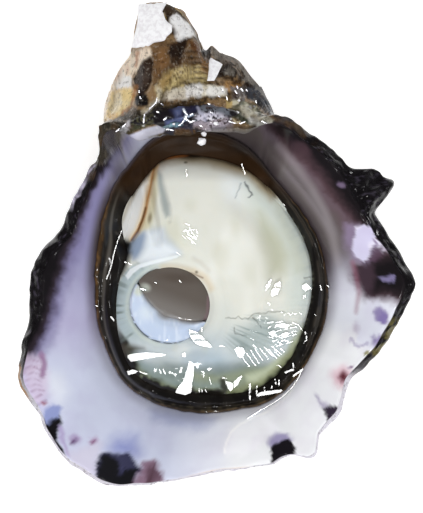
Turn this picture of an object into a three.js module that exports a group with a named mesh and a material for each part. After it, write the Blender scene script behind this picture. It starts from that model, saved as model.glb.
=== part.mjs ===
// A raw oyster on the half shell: the deep lower valve with its fluted margin and chalky beak, and in it the
// plump body, the dark frilled mantle round it, the cut muscle in its two halves, and the torn ligament.
// Millimetres, +Z up. The origin is the middle of the flat spot that the cup rests on. A bearing is an angle
// in degrees seen from above, counted from +X towards +Y. The hinge and beak are at about 95 degrees.
import * as THREE from "three";

// --- Driving dimensions ----------------------------------------------------------------------------------

const RIM_HEIGHT = 24.5; // the cup's margin above the table
const FLOOR = 3.6; // the nacre at the bottom of the cup
const LIP_REACH = 35.2; // from the origin to the hinge lip that overhangs the cavity
const FLAT_SPOT = { width: 27, length: 36, northing: 3 }; // what the cup stands on
const CLEARANCE = 0.35; // between two pieces that touch
const BODY_EDGE = 14.2; // the flesh at its outline
const BODY_PLUMPNESS = 4.4; // how far the middle of the body stands above its outline
const MUSCLE = { x: -7.3, y: -1.2, radiusX: 8.5, radiusY: 8.1, top: 17.2 };
const CRESCENT = { bearing: 241, halfWidth: 98, depth: 0.69, power: 3.5 }; // the muscle's white half

// Distances from the origin, one for every 15 degrees of bearing: the outer edge of the shell.
const SHELL_REACH = [
  42, 41.5, 39.3, 40.5, 40.7, 44.7, 55.9, 53.6, 42.3, 35, 33.7, 35.5,
  36.2, 39.1, 41.7, 42.9, 43.1, 39.3, 36.1, 36, 37.3, 36.4, 35.1, 37.7,
];
// The outer edge of the mantle, and the outline of the body inside it.
const MANTLE_REACH = [
  26.1, 26, 26.4, 27.4, 29.2, 33.4, 35.8, 36.2, 32.8, 28.8, 25.6, 24,
  23.2, 23.4, 23.8, 24.6, 24.8, 23.8, 23.1, 23.9, 24.6, 25, 25.3, 25.8,
];
const BODY_REACH = [
  22.4, 23.3, 24, 25.2, 27, 29, 30.2, 31, 27.8, 24.4, 19.4, 18.8,
  18.8, 19.4, 20.4, 21.6, 21.8, 20.6, 19.6, 20, 20.8, 20.9, 20.9, 21.3,
];
// One for every 30 degrees: the lumpy brim between the nacre and the outer edge.
const BRIM_WIDTH = [2.2, 2.4, 2, 0.8, 1.8, 2.6, 2.4, 1, 0.5, 0.4, 0.5, 1.2];

// The big irregular lobes of the outline. reach is outwards and lift is upwards.
const LOBES = [
  { name: "beak tip", bearing: 100, halfWidth: 8, reach: 7.8, lift: 0.6 },
  { name: "square corner of the tip", bearing: 103, halfWidth: 3.5, reach: 1.8, lift: 0 },
  { name: "straight side of the tip", bearing: 94, halfWidth: 2.5, reach: 1.5, lift: 0 },
  { name: "beak shoulder", bearing: 110, halfWidth: 8, reach: 1, lift: 0 },
  { name: "notch beside the tip", bearing: 90.2, halfWidth: 2, reach: -2.4, lift: -0.3 },
  { name: "hollow beside the notch", bearing: 87.2, halfWidth: 6, reach: -2.1, lift: -0.3 },
  { name: "chalk corner of the tip", bearing: 95, halfWidth: 3, reach: 1.4, lift: 0 },
  { name: "right shoulder", bearing: 75, halfWidth: 8, reach: 1.4, lift: 0 },
  { name: "left flank", bearing: 118, halfWidth: 8, reach: 1.9, lift: 0 },
  { name: "torn point", bearing: 305, halfWidth: 6, reach: 2.3, lift: 0.8 },
];

// The two humps of the knob, a lump of crust that grows out of the brim, and the notch in the brim below the left
// flank. The nacre doesn't follow them.
const KNOB = [
  { bearing: 35.5, halfWidth: 8, reach: 5.4 },
  { bearing: 31, halfWidth: 4.5, reach: 4.2 },
  { bearing: 126.5, halfWidth: 5, reach: -1.6 },
];

// The main relief of the beak's upper side: soft ovals that stand up or, with a rise below 0, lie deeper.
const BEAK_RELIEF = [
  { name: "cream ledge above the ligament", x: -0.4, y: 43, radiusX: 8.5, radiusY: 3, rise: 1 },
  { name: "brown hollow", x: -4.8, y: 51.6, radiusX: 4.2, radiusY: 3.2, rise: -1.6 },
  { name: "dark facet", x: -12.6, y: 46.3, radiusX: 2.8, radiusY: 4.6, rise: -0.9 },
  { name: "hump behind the tip", x: -4.4, y: 56.4, radiusX: 3.6, radiusY: 3.6, rise: 1.1 },
  { name: "white flake at the tip", x: -11.2, y: 57, radiusX: 4.2, radiusY: 5.4, rise: 1.8 },
  { name: "white flake beside the notch", x: 2.4, y: 48, radiusX: 2.6, radiusY: 3.6, rise: 1.2 },
];

// The flutes of the margin. A flute with a lift above 0 is a fold that stands up, and one below 0 a dip.
const FLUTES = [
  { bearing: 5, halfWidth: 8, reach: 1.3, lift: 1.5 },
  { bearing: 20, halfWidth: 8, reach: -0.5, lift: -1.6 },
  { bearing: 52, halfWidth: 10, reach: 0.3, lift: 1.2 },
  { bearing: 140, halfWidth: 9, reach: 0.6, lift: 0.8 },
  { bearing: 155, halfWidth: 8, reach: -0.7, lift: -1.2 },
  { bearing: 172, halfWidth: 9, reach: 0.5, lift: 1.1 },
  { bearing: 187, halfWidth: 7, reach: -0.7, lift: -1.5 },
  { bearing: 203, halfWidth: 8, reach: 1.1, lift: 1.4 },
  { bearing: 214, halfWidth: 6, reach: -0.6, lift: -1.4 },
  { bearing: 228, halfWidth: 8, reach: 0.3, lift: 1.6 },
  { bearing: 243, halfWidth: 8, reach: 0.4, lift: -1.7 },
  { bearing: 258, halfWidth: 7, reach: -0.4, lift: 1.3 },
  { bearing: 275, halfWidth: 9, reach: -0.2, lift: -0.5 },
  { bearing: 297, halfWidth: 6, reach: -0.4, lift: -1.4 },
  { bearing: 320, halfWidth: 7, reach: 0.6, lift: 1.3 },
  { bearing: 331, halfWidth: 6, reach: -0.6, lift: -1.5 },
  { bearing: 346, halfWidth: 8, reach: 0.4, lift: 1.1 },
];

// --- Small mathematics -----------------------------------------------------------------------------------

const radians = THREE.MathUtils.degToRad;
const mix = THREE.MathUtils.lerp;
const clamp01 = (x) => Math.min(1, Math.max(0, x));
const smooth = (x, low, high) => THREE.MathUtils.smoothstep(x, low, high);

// The signed turn from one bearing to another, between -180 and 180 degrees.
const turn = (from, to) => ((((to - from + 180) % 360) + 360) % 360) - 180;

// 1 at the middle of a hump, falling as a squared cosine to 0 at its half width.
const hump = (offset, halfWidth) =>
  Math.abs(offset) < halfWidth ? Math.cos((Math.PI * offset) / (2 * halfWidth)) ** 2 : 0;

// A Catmull-Rom curve through evenly spaced values. share runs from 0 to 1 along them.
function curveThrough(values, share, closed) {
  const count = values.length;
  const place = closed ? (((share % 1) + 1) % 1) * count : clamp01(share) * (count - 1);
  const i = Math.min(Math.floor(place), closed ? count - 1 : count - 2);
  const f = place - i;
  const at = (k) => values[closed ? (k + count) % count : Math.min(count - 1, Math.max(0, k))];
  const [a, b, c, d] = [at(i - 1), at(i), at(i + 1), at(i + 2)];
  return b + 0.5 * f * (c - a + f * (2 * a - 5 * b + 4 * c - d + f * (3 * (b - c) + d - a)));
}
const byBearing = (values, bearing) => curveThrough(values, bearing / 360, true);

// Smooth noise between -1 and 1, from a fixed lattice of pseudo-random values.
function lattice(x, y, z) {
  const s = Math.sin(x * 127.1 + y * 311.7 + z * 74.7) * 43758.5453;
  return s - Math.floor(s);
}
function noise(x, y, z) {
  const [i, j, k] = [Math.floor(x), Math.floor(y), Math.floor(z)];
  const [u, v, w] = [x - i, y - j, z - k].map((f) => f * f * (3 - 2 * f));
  const edge = (a, b) => mix(lattice(i, j + a, k + b), lattice(i + 1, j + a, k + b), u);
  return 2 * mix(mix(edge(0, 0), edge(1, 0), v), mix(edge(0, 1), edge(1, 1), v), w) - 1;
}

// --- Closed surfaces -------------------------------------------------------------------------------------

// A solid's geometry from its points and triangles, turned so that its faces point out.
function solidGeometry(points, triangles) {
  const [a, b, c] = [new THREE.Vector3(), new THREE.Vector3(), new THREE.Vector3()];
  let volume = 0;
  for (const [i, j, k] of triangles) {
    a.fromArray(points[i]);
    b.fromArray(points[j]);
    c.fromArray(points[k]);
    volume += a.dot(b.cross(c)) / 6;
  }
  const faces = volume < 0 ? triangles.map(([i, j, k]) => [i, k, j]) : triangles;
  const geometry = new THREE.BufferGeometry();
  geometry.setAttribute("position", new THREE.Float32BufferAttribute(points.flat(), 3));
  geometry.setIndex(faces.flat());
  geometry.computeVertexNormals();
  return geometry;
}

// A surface closed like a globe: point(column, row) for rows 1 to rows - 1, between one pole and the other.
function globe(columns, rows, point) {
  const points = [point(0, 0)];
  for (let row = 1; row < rows; row += 1) {
    for (let column = 0; column < columns; column += 1) points.push(point(column, row));
  }
  points.push(point(0, rows));
  const last = points.length - 1;
  const index = (column, row) => 1 + (row - 1) * columns + (column % columns);
  const triangles = [];
  for (let column = 0; column < columns; column += 1) {
    triangles.push([0, index(column, 1), index(column + 1, 1)]);
    triangles.push([last, index(column + 1, rows - 1), index(column, rows - 1)]);
    for (let row = 1; row < rows - 1; row += 1) {
      const [a, b] = [index(column, row), index(column + 1, row)];
      const [c, d] = [index(column, row + 1), index(column + 1, row + 1)];
      triangles.push([a, c, b], [b, c, d]);
    }
  }
  return solidGeometry(points, triangles);
}

// A surface closed like a tyre: point(column, row) goes round both ways.
function tyre(columns, rows, point) {
  const points = [];
  for (let row = 0; row < rows; row += 1) {
    for (let column = 0; column < columns; column += 1) points.push(point(column, row));
  }
  const index = (column, row) => (row % rows) * columns + (column % columns);
  const triangles = [];
  for (let row = 0; row < rows; row += 1) {
    for (let column = 0; column < columns; column += 1) {
      const [a, b] = [index(column, row), index(column + 1, row)];
      const [c, d] = [index(column, row + 1), index(column + 1, row + 1)];
      triangles.push([a, c, b], [b, c, d]);
    }
  }
  return solidGeometry(points, triangles);
}

function mesh(name, geometry, color, roughness) {
  const material = new THREE.MeshStandardMaterial({ color, roughness, metalness: 0 });
  const made = new THREE.Mesh(geometry, material);
  made.name = name;
  return made;
}

// --- The shell -------------------------------------------------------------------------------------------

const lobesAt = (bearing, list, what) =>
  list.reduce((sum, lobe) => sum + lobe[what] * hump(turn(lobe.bearing, bearing), lobe.halfWidth), 0);

const knobReach = (bearing) => lobesAt(bearing, KNOB, "reach");
const shellReach = (bearing) =>
  byBearing(SHELL_REACH, bearing) +
  lobesAt(bearing, LOBES, "reach") +
  lobesAt(bearing, FLUTES, "reach") +
  knobReach(bearing);

// The margin waves slowly, left side highest, and each lobe and flute lifts or drops it.
const calmHeight = (bearing) =>
  RIM_HEIGHT + 1.1 * Math.cos(radians(bearing - 170)) + 0.7 * Math.cos(radians(2 * bearing - 100));
const marginHeight = (bearing) =>
  calmHeight(bearing) + lobesAt(bearing, LOBES, "lift") + lobesAt(bearing, FLUTES, "lift");

// 1 along the hinge, where the margin gives way to the beak, and 0 elsewhere.
const hingeShare = (bearing) => smooth(turn(94, bearing), -37, -17) * (1 - smooth(turn(94, bearing), 18, 36));

// The lip of the hinge, and how much of the beak beyond it is level rather than sloping side.
const lipReach = (bearing) => LIP_REACH + 0.0024 * turn(93, bearing) ** 2;
const beakTopShare = (bearing) => 0.22 + 0.7 * Math.exp(-((turn(97, bearing) / 11) ** 2));

// The section of the valve at a bearing as key points from the cup's middle, up the nacre, over the brim and
// down the outside to the middle again. Each key gives a reach and a height, mixed of the open margin and the
// hinge. The lobes belong to the margin, so the inside of the cup takes less of them the deeper it lies.
function sectionKeys(bearing) {
  const calm = byBearing(SHELL_REACH, bearing);
  const reach = shellReach(bearing);
  const rim = reach - knobReach(bearing) - byBearing(BRIM_WIDTH, bearing);
  const wall = reach - 0.85 * knobReach(bearing);
  const top = marginHeight(bearing);
  const depth = calmHeight(bearing) - FLOOR;
  const nacre = (outward, upward, share) => [
    outward * calm + share * (rim - calm),
    FLOOR + upward * depth + share * (top - FLOOR - depth),
  ];
  const hinge = hingeShare(bearing);
  const lip = mix(reach, lipReach(bearing), hinge);
  const beakTop = mix(lip, reach, beakTopShare(bearing));
  const [east, north] = [Math.cos(radians(bearing)), Math.sin(radians(bearing))];
  const foot = 1 / Math.hypot(east / (FLAT_SPOT.width / 2), north / (FLAT_SPOT.length / 2));
  const spot = foot + FLAT_SPOT.northing * north;
  const open = [
    [0, FLOOR],
    nacre(0.27, 0.03, 0),
    nacre(0.46, 0.15, 0),
    nacre(0.59, 0.36, 0.06),
    nacre(0.71, 0.61, 0.22),
    nacre(0.86, 0.86, 0.6),
    nacre(0.97, 0.985, 0.93),
    [rim, top],
    [mix(rim, reach, 0.55), top - 0.2 - 0.1 * (reach - rim)],
    [reach, top - 1.2 - 0.3 * (reach - rim)],
    [0.955 * wall, top - 6],
    [0.85 * wall, top - 12],
    [0.66 * wall, 4.4],
    [spot, 0],
    [0.5 * spot, 0],
    [0, 0],
  ];
  const beak = [
    [0, FLOOR],
    [0.3 * lip, FLOOR + 0.02 * depth],
    [0.6 * lip, FLOOR + 0.1 * depth],
    [0.84 * lip, FLOOR + 0.24 * depth],
    [1.03 * lip, FLOOR + 0.46 * depth],
    [1.05 * lip, FLOOR + 0.68 * depth],
    [1.0 * lip, FLOOR + 0.84 * depth],
    [0.985 * lip, top - 0.9],
    [1.04 * lip, top - 0.1],
    [beakTop, top + 0.4],
    [reach, 15],
    [0.97 * reach, 10],
    [0.74 * reach, 3.6],
    [spot, 0],
    [0.5 * spot, 0],
    [0, 0],
  ];
  return open.map(([r, z], i) => [mix(r, beak[i][0], hinge), mix(z, beak[i][1], hinge)]);
}

// The edges of the growth layers on the outside: a step that overhangs a little, its line broken by noise.
function layerStep(bearing, share) {
  const ragged = 0.35 * noise(bearing / 9, 2.5, 0.5) + 0.2 * noise(bearing / 4, 7.5, 3.5);
  const phase = 5 * share + ragged;
  return 1 - (phase - Math.floor(phase));
}

// How the beak's upper side departs from its smooth section: the named ovals, and crags all over.
function beakRelief(x, y) {
  const oval = ({ x: east, y: north, radiusX, radiusY, rise }) =>
    rise * hump(Math.hypot((x - east) / radiusX, (y - north) / radiusY), 1);
  return BEAK_RELIEF.reduce((sum, part) => sum + oval(part), 0) + 0.9 * noise(0.35 * x, 0.35 * y, 4.5);
}

// A point of the valve: share runs from 0 at the cup's middle to 1 at the middle of the foot.
const FIRST_OUTER = 9 / 15; // where the outside begins
const LAST_OUTER = 12.6 / 15; // where the layers end, above the foot
function shellPoint(bearing, share) {
  const keys = sectionKeys(bearing);
  let reach = curveThrough(keys.map((key) => key[0]), share, false);
  let height = Math.max(0, curveThrough(keys.map((key) => key[1]), share, false));
  const outer = smooth(share, FIRST_OUTER - 0.02, FIRST_OUTER + 0.04) * (1 - smooth(share, 0.8, LAST_OUTER));
  const [east, north] = [Math.cos(radians(bearing)), Math.sin(radians(bearing))];
  const tucked = 0.3 + 1.7 * (1 - smooth(share, 9.6 / 15, 11 / 15)); // below the margin's own outline
  const swell = 0.7 * noise(bearing / 7, share * 14, 1.5);
  reach += outer * (0.9 * layerStep(bearing, share * 2.4) + swell - tucked);
  const [x, y] = [Math.max(0, reach) * east, Math.max(0, reach) * north];
  const onBeak = smooth(share, 7.4 / 15, 8.4 / 15) * (1 - smooth(share, 10 / 15, 11.4 / 15));
  height += hingeShare(bearing) * onBeak * beakRelief(x, y);
  return [x, y, height];
}

// The rows of the shell: how many each stretch between two keys of the section is cut into.
const STRETCHES = [1, 2, 2, 2, 2, 2, 1, 1, 2, 4, 4, 4, 3, 1, 1];
const ROW_SHARES = [0];
STRETCHES.forEach((count, key) => {
  for (let i = 1; i <= count; i += 1) ROW_SHARES.push((key + i / count) / STRETCHES.length);
});

// The height of the nacre under a point of the cup, read off the section between the same rows.
function cupHeight(x, y) {
  const bearing = THREE.MathUtils.radToDeg(Math.atan2(y, x));
  const wanted = Math.hypot(x, y);
  const keys = sectionKeys(bearing);
  const at = (row, which) => curveThrough(keys.map((key) => key[which]), ROW_SHARES[row], false);
  let row = 1;
  while (row < 12 && at(row, 0) < wanted) row += 1;
  const [near, far] = [at(row - 1, 0), at(row, 0)];
  return mix(at(row - 1, 1), at(row, 1), clamp01((wanted - near) / (far - near)));
}

// Bearings spread evenly along the shell's outline, so that the long beak gets its share of them.
function evenBearings(count, reachAt) {
  const fine = 1440;
  const place = (k) => {
    const angle = radians((k * 360) / fine);
    const reach = reachAt((k * 360) / fine);
    return new THREE.Vector2(reach * Math.cos(angle), reach * Math.sin(angle));
  };
  const run = [0];
  for (let k = 1; k <= fine; k += 1) run.push(run[k - 1] + place(k).distanceTo(place(k - 1)));
  const bearings = [];
  let k = 0;
  for (let i = 0; i < count; i += 1) {
    const wanted = (run[fine] * i) / count;
    while (run[k + 1] < wanted) k += 1;
    bearings.push(((k + (wanted - run[k]) / (run[k + 1] - run[k])) * 360) / fine);
  }
  return bearings;
}

function shell() {
  const bearings = evenBearings(104, shellReach);
  const point = (column, row) => shellPoint(bearings[column], ROW_SHARES[row]);
  return mesh("shell", globe(bearings.length, ROW_SHARES.length - 1, point), 0xcfc6dc, 0.3);
}

// --- The flesh -------------------------------------------------------------------------------------------

const mantleReach = (bearing) => byBearing(MANTLE_REACH, bearing);
const bodyReach = (bearing) => byBearing(BODY_REACH, bearing);

// The muscle's outline from its own middle, and the share of that reach which the grey half takes.
const muscleReach = (bearing) =>
  1 / Math.hypot(Math.cos(radians(bearing)) / MUSCLE.radiusX, Math.sin(radians(bearing)) / MUSCLE.radiusY);
const greyShare = (bearing) => {
  const away = Math.abs(turn(CRESCENT.bearing, bearing));
  return 1 - CRESCENT.depth * (1 - Math.min(1, away / CRESCENT.halfWidth) ** CRESCENT.power);
};

// The top of the flesh: a dome over its outline, a lip round the muscle, the gill fold's furrow on the left,
// the valley between the body and the pale mantle on the right, and the slope down into the hinge cavity.
function fleshTop(x, y) {
  const bearing = THREE.MathUtils.radToDeg(Math.atan2(y, x));
  const outward = Math.hypot(x, y) / bodyReach(bearing);
  const dome = BODY_PLUMPNESS * Math.max(0, 1 - outward ** 2.6) ** 0.7;
  const fromMuscle = Math.hypot((x - MUSCLE.x) / MUSCLE.radiusX, (y - MUSCLE.y) / MUSCLE.radiusY);
  const lip = 0.4 * hump(fromMuscle - 1.16, 0.24) - 1.2 * (1 - smooth(fromMuscle, 1, 1.6));
  const furrow = -1.2 * hump(x + 11 + 0.16 * (y - 18), 1.6) * smooth(y, 10, 14);
  const valley = -0.6 * hump(Math.hypot(x + 4, y - 4) - 19.5, 3.6) * smooth(x, 2, 8);
  const slope = -3 * smooth(y, 24.5, 31.5);
  return BODY_EDGE + dome + lip + furrow + valley + slope;
}

// The body is a thick ring round the muscle: over the top, down its outside, back along the nacre and up the
// hole.
function body() {
  const bearings = evenBearings(80, bodyReach);
  const top = 13;
  const side = 2;
  const under = 5;
  const wall = 2;
  const section = (column, row) => {
    const reach = bodyReach(bearings[column]);
    const angle = radians(bearings[column]);
    const outline = new THREE.Vector2(reach * Math.cos(angle), reach * Math.sin(angle));
    const away = outline.clone().sub(new THREE.Vector2(MUSCLE.x, MUSCLE.y));
    const bearing = THREE.MathUtils.radToDeg(Math.atan2(away.y, away.x));
    const hole = muscleReach(bearing) + CLEARANCE;
    const at = (share) => {
      const from = mix(hole, away.length(), share) / away.length();
      return [MUSCLE.x + away.x * from, MUSCLE.y + away.y * from];
    };
    const edges = (share) => {
      const [x, y] = at(share);
      const high = fleshTop(x, y) - 0.5 * (1 - smooth(share, 0, 0.08));
      return [x, y, Math.max(high, cupHeight(x, y) + CLEARANCE + 1), cupHeight(x, y) + CLEARANCE];
    };
    if (row <= top) {
      const [x, y, high] = edges(row / top);
      return [x, y, high];
    }
    if (row < top + side) {
      const [x, y, high, low] = edges(1);
      return [x, y, mix(high, low, (row - top) / side)];
    }
    if (row <= top + side + under) {
      const [x, y, , low] = edges(1 - (row - top - side) / under);
      return [x, y, low];
    }
    const [x, y, high, low] = edges(0);
    return [x, y, mix(low, high, (row - top - side - under) / wall)];
  };
  return mesh("body", tyre(bearings.length, top + side + under + wall, section), 0xe4e2d0, 0.25);
}

// The mantle lies on the nacre round the body. Its top has an outer frill and a taller inner fold with a
// furrow between them, and both are puckered along the edge.
function mantle() {
  const bearings = evenBearings(96, mantleReach);
  const top = 8;
  const under = 4;
  const section = (column, row) => {
    const bearing = bearings[column];
    const [inner, outer] = [bodyReach(bearing) + CLEARANCE, mantleReach(bearing)];
    const [east, north] = [Math.cos(radians(bearing)), Math.sin(radians(bearing))];
    const outward = row <= top ? row / top : 1 - (row - top) / (under + 1);
    const reach = mix(inner, outer, outward);
    const [x, y] = [reach * east, reach * north];
    const nacre = cupHeight(x, y) + CLEARANCE;
    if (row > top) return [x, y, nacre];
    const pucker = 1 + 0.35 * noise(bearing / 5, 0.5, 8.5);
    const edge = cupHeight(outer * east, outer * north) + CLEARANCE + 0.7;
    const inside = Math.min(BODY_EDGE - 0.4, fleshTop(x, y) - 0.2);
    const folds = 0.8 * hump(outward - 0.74, 0.2) + 1.1 * hump(outward - 0.28, 0.28);
    return [x, y, Math.max(nacre + 0.6, mix(inside, edge, outward) + folds * pucker)];
  };
  return mesh("mantle", tyre(bearings.length, top + under + 1, section), 0x2b2722, 0.2);
}

// The fast-closing half of the muscle is a grey-brown translucent plug, cut level by the shucking knife.
function greyMuscle() {
  const columns = 48;
  const levels = [0, 0.5, 0.9, 1, 1, 0.6, 0]; // shares of the outline: across the cut face, down and under
  const point = (column, row) => {
    const bearing = (360 * column) / columns;
    const reach = levels[row] * greyShare(bearing) * muscleReach(bearing);
    const [east, north] = [Math.cos(radians(bearing)), Math.sin(radians(bearing))];
    const [x, y] = [MUSCLE.x + reach * east, MUSCLE.y + reach * north];
    const dished = MUSCLE.top - 0.4 - 0.4 * levels[row] ** 6;
    return [x, y, row <= 3 ? dished : cupHeight(x, y) + CLEARANCE];
  };
  return mesh("muscle_grey", globe(columns, levels.length - 1, point), 0x6f655c, 0.25);
}

// The half that holds the valve shut is the white crescent round the lower left of it: stations from horn to
// horn, each a closed loop.
function whiteMuscle() {
  const innerReach = (bearing) => greyShare(bearing) * muscleReach(bearing) + CLEARANCE;
  const HORN = 0.45; // how thin the crescent gets before it ends
  const horn = (step) => {
    let bearing = CRESCENT.bearing;
    while (muscleReach(bearing) - innerReach(bearing) > HORN) bearing += step;
    return bearing;
  };
  const [first, last] = [horn(-1), horn(1)];
  const stations = 26;
  const loop = 12; // up the inside, over the top in four steps, down the outside and back under
  const point = (column, row) => {
    const bearing = mix(first, last, row / stations);
    const [east, north] = [Math.cos(radians(bearing)), Math.sin(radians(bearing))];
    const pole = row === 0 || row === stations;
    const across = [0, 0, 0, 0.1, 0.5, 0.9, 1, 1, 1, 0.85, 0.5, 0.15][column];
    const up = [0, 0.5, 0.95, 1, 1.02, 1, 0.95, 0.5, 0, 0, 0, 0][column];
    const reach = mix(innerReach(bearing), muscleReach(bearing), pole ? 0.5 : across);
    const [x, y] = [MUSCLE.x + reach * east, MUSCLE.y + reach * north];
    const low = cupHeight(x, y) + CLEARANCE;
    return [x, y, mix(low, MUSCLE.top, pole ? 0.5 : up)];
  };
  return mesh("muscle_white", globe(loop, stations, point), 0xc8d2e6, 0.25);
}

// The torn ligament is a wet dark strip of lumps that lies along the hinge lip.
function ligament() {
  const [first, last] = [113, 80];
  const stations = 22;
  const loop = 10;
  const point = (column, row) => {
    const share = row / stations;
    const bearing = mix(first, last, share);
    const [east, north] = [Math.cos(radians(bearing)), Math.sin(radians(bearing))];
    const plump = Math.sin(Math.PI * share) ** 0.5 * (1 + 0.3 * noise(share * 9, 1.5, 6.5));
    const angle = (2 * Math.PI * column) / loop;
    const reach = lipReach(bearing) + 3.3 + 2.1 * plump * Math.cos(angle);
    const lift = Math.max(0, Math.sin(angle)) * 1.7 * plump;
    const bed = beakSurface(bearing, reach) + CLEARANCE + 0.5;
    return [reach * east, reach * north, bed + lift];
  };
  return mesh("ligament", globe(loop, stations, point), 0x1c1a20, 0.15);
}

// The height of the beak's upper side at a reach beyond the hinge lip.
function beakSurface(bearing, wanted) {
  let share = 7.5 / 15;
  const reachOf = (s) => Math.hypot(...shellPoint(bearing, s).slice(0, 2));
  while (share < 9.2 / 15 && reachOf(share) < wanted) share += 0.002;
  return shellPoint(bearing, share)[2];
}

const oyster = new THREE.Group();
oyster.add(shell(), body(), mantle(), greyMuscle(), whiteMuscle(), ligament());
export default oyster;
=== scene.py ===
import bpy
import numpy as np
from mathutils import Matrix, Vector


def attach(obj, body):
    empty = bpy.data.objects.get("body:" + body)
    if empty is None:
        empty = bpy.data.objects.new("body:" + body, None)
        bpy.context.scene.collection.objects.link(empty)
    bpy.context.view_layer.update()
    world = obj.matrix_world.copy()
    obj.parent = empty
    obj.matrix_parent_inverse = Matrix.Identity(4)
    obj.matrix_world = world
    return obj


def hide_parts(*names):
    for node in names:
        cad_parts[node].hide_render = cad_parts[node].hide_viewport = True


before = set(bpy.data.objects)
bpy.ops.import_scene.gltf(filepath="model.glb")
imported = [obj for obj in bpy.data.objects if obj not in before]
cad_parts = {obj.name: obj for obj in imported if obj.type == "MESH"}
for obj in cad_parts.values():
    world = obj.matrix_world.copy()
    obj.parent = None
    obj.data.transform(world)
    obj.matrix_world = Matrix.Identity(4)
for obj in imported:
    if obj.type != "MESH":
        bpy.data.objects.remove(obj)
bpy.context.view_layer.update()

# --- The lower valve --------------------------------------------------------------------------------------
# One grown piece of calcite and nacre: a deep cup with a purple-black margin and a lumpy brim, a hinge
# plate and a chalky, flaking beak. It is one closed surface: each bearing has a section that runs from the
# middle of the cup up the nacre, over the brim and down the layered outside to the middle of the foot.
# Sizes are in millimetres.

MM = 0.001
RIM_HEIGHT = 24.5
FLOOR = 3.6
LIP_REACH = 35.2
FLAT_SPOT = (27.0, 36.0, 3.0)  # width, length and how far its middle lies towards the hinge
SHELL_REACH = np.array([
    42, 41.5, 39.3, 40.5, 40.7, 44.7, 55.9, 53.6, 42.3, 35, 33.7, 35.5,
    36.2, 39.1, 41.7, 42.9, 43.1, 39.3, 36.1, 36, 37.3, 36.4, 35.1, 37.7,
])
BRIM_WIDTH = np.array([2.2, 2.4, 2, 0.8, 1.8, 2.6, 2.4, 1, 0.5, 0.4, 0.5, 1.2])
# Bearing, half width, reach outwards and lift of each big lobe and each flute of the margin.
LOBES = [
    (100, 8, 7.8, 0.6), (103, 3.5, 1.8, 0), (94, 2.5, 1.5, 0), (110, 8, 1, 0), (90.2, 2, -2.4, -0.3),
    (87.2, 6, -2.1, -0.3), (305, 6, 2.3, 0.8),
    (95, 3, 1.4, 0), (75, 8, 1.4, 0), (118, 8, 1.9, 0),
    (5, 8, 1.3, 1.5), (20, 8, -0.5, -1.6), (52, 10, 0.3, 1.2), (140, 9, 0.6, 0.8), (155, 8, -0.7, -1.2),
    (172, 9, 0.5, 1.1), (187, 7, -0.7, -1.5), (203, 8, 1.1, 1.4), (214, 6, -0.6, -1.4), (228, 8, 0.3, 1.6),
    (243, 8, 0.4, -1.7), (258, 7, -0.4, 1.3), (275, 9, -0.2, -0.5), (297, 6, -0.4, -1.4), (320, 7, 0.6, 1.3),
    (331, 6, -0.6, -1.5), (346, 8, 0.4, 1.1),
]
# The humps of the knob at the upper right, and a notch; the nacre doesn't follow them.
KNOB = [(35.5, 8, 5.4), (31, 4.5, 4.2), (126.5, 5, -1.6)]


def turn(start, bearing):
    """The signed turn from start to bearing in degrees, between -180 and 180."""
    return (bearing - start + 180) % 360 - 180


def hump(offset, half_width):
    """1 in the middle, falling as a squared cosine to 0 at half_width to either side."""
    return np.cos(np.pi / 2 * np.clip(np.abs(offset) / half_width, 0, 1)) ** 2


def ramp(value, low, high):
    """0 up to low and 1 from high on, with a smooth cubic between them; low may be the larger."""
    t = np.clip((value - low) / (high - low), 0, 1)
    return t * t * (3 - 2 * t)


def mix(a, b, share):
    """a where share is 0 and b where it is 1."""
    return a + (b - a) * share


def sector(bearing, middle, rise, fall):
    """1 between two bearings and 0 elsewhere: it changes smoothly over rise and over fall, each of which is
    a pair of turns away from the middle."""
    away = turn(middle, bearing)
    return ramp(away, *rise) * (1 - ramp(away, *fall))


def at(bearing, reach):
    """The x and y of points at a bearing and a reach from the origin."""
    angle = np.radians(bearing)
    return reach * np.cos(angle), reach * np.sin(angle)


def bearing_of(x, y):
    """The bearing of points from the origin, in degrees."""
    return np.degrees(np.arctan2(y, x))


def running_length(points):
    """How far along a line each of its points lies, from 0 at the first."""
    return np.concatenate([[0], np.cumsum(np.hypot(*np.diff(points, axis=0).T))])


def spread_round(corners, count):
    """The x and y of points spread evenly round a closed outline."""
    closed = np.array([*corners, corners[0]], float)
    run = running_length(closed)
    around = np.arange(count) / count * run[-1]
    return [np.interp(around, run, closed[:, k]) for k in (0, 1)]


def curve(values, place, closed):
    """A Catmull-Rom curve through values, one for each whole number of place; closed ones go round. Where
    values has columns, each column of place follows its own."""
    n = len(values)
    place = place % n if closed else np.clip(place, 0, n - 1)
    i = np.minimum(place.astype(int), n - 1 if closed else n - 2)
    column = (np.arange(values.shape[1]),) if values.ndim == 2 else ()
    nearby = [k % n if closed else np.clip(k, 0, n - 1) for k in (i - 1, i, i + 1, i + 2)]
    a, b, c, d = [values[(k,) + column] for k in nearby]
    f = place - i
    return b + 0.5 * f * (c - a + f * (2 * a - 5 * b + 4 * c - d + f * (3 * (b - c) + d - a)))


def noise(x, y, z=0.5):
    """Smooth noise between -1 and 1: a fixed lattice of pseudo-random values, blended by smooth cubics."""
    x, y, z = np.broadcast_arrays(np.asarray(x, float), y, z)
    i, j, k = np.floor(x), np.floor(y), np.floor(z)
    u, v, w = [f * f * (3 - 2 * f) for f in (x - i, y - j, z - k)]

    def corner(a, b, c):
        s = np.sin((i + a) * 127.1 + (j + b) * 311.7 + (k + c) * 74.7) * 43758.5453
        return s - np.floor(s)

    near, far = [
        mix(mix(corner(0, 0, c), corner(1, 0, c), u), mix(corner(0, 1, c), corner(1, 1, c), u), v)
        for c in (0, 1)
    ]
    return 2 * mix(near, far, w) - 1


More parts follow.
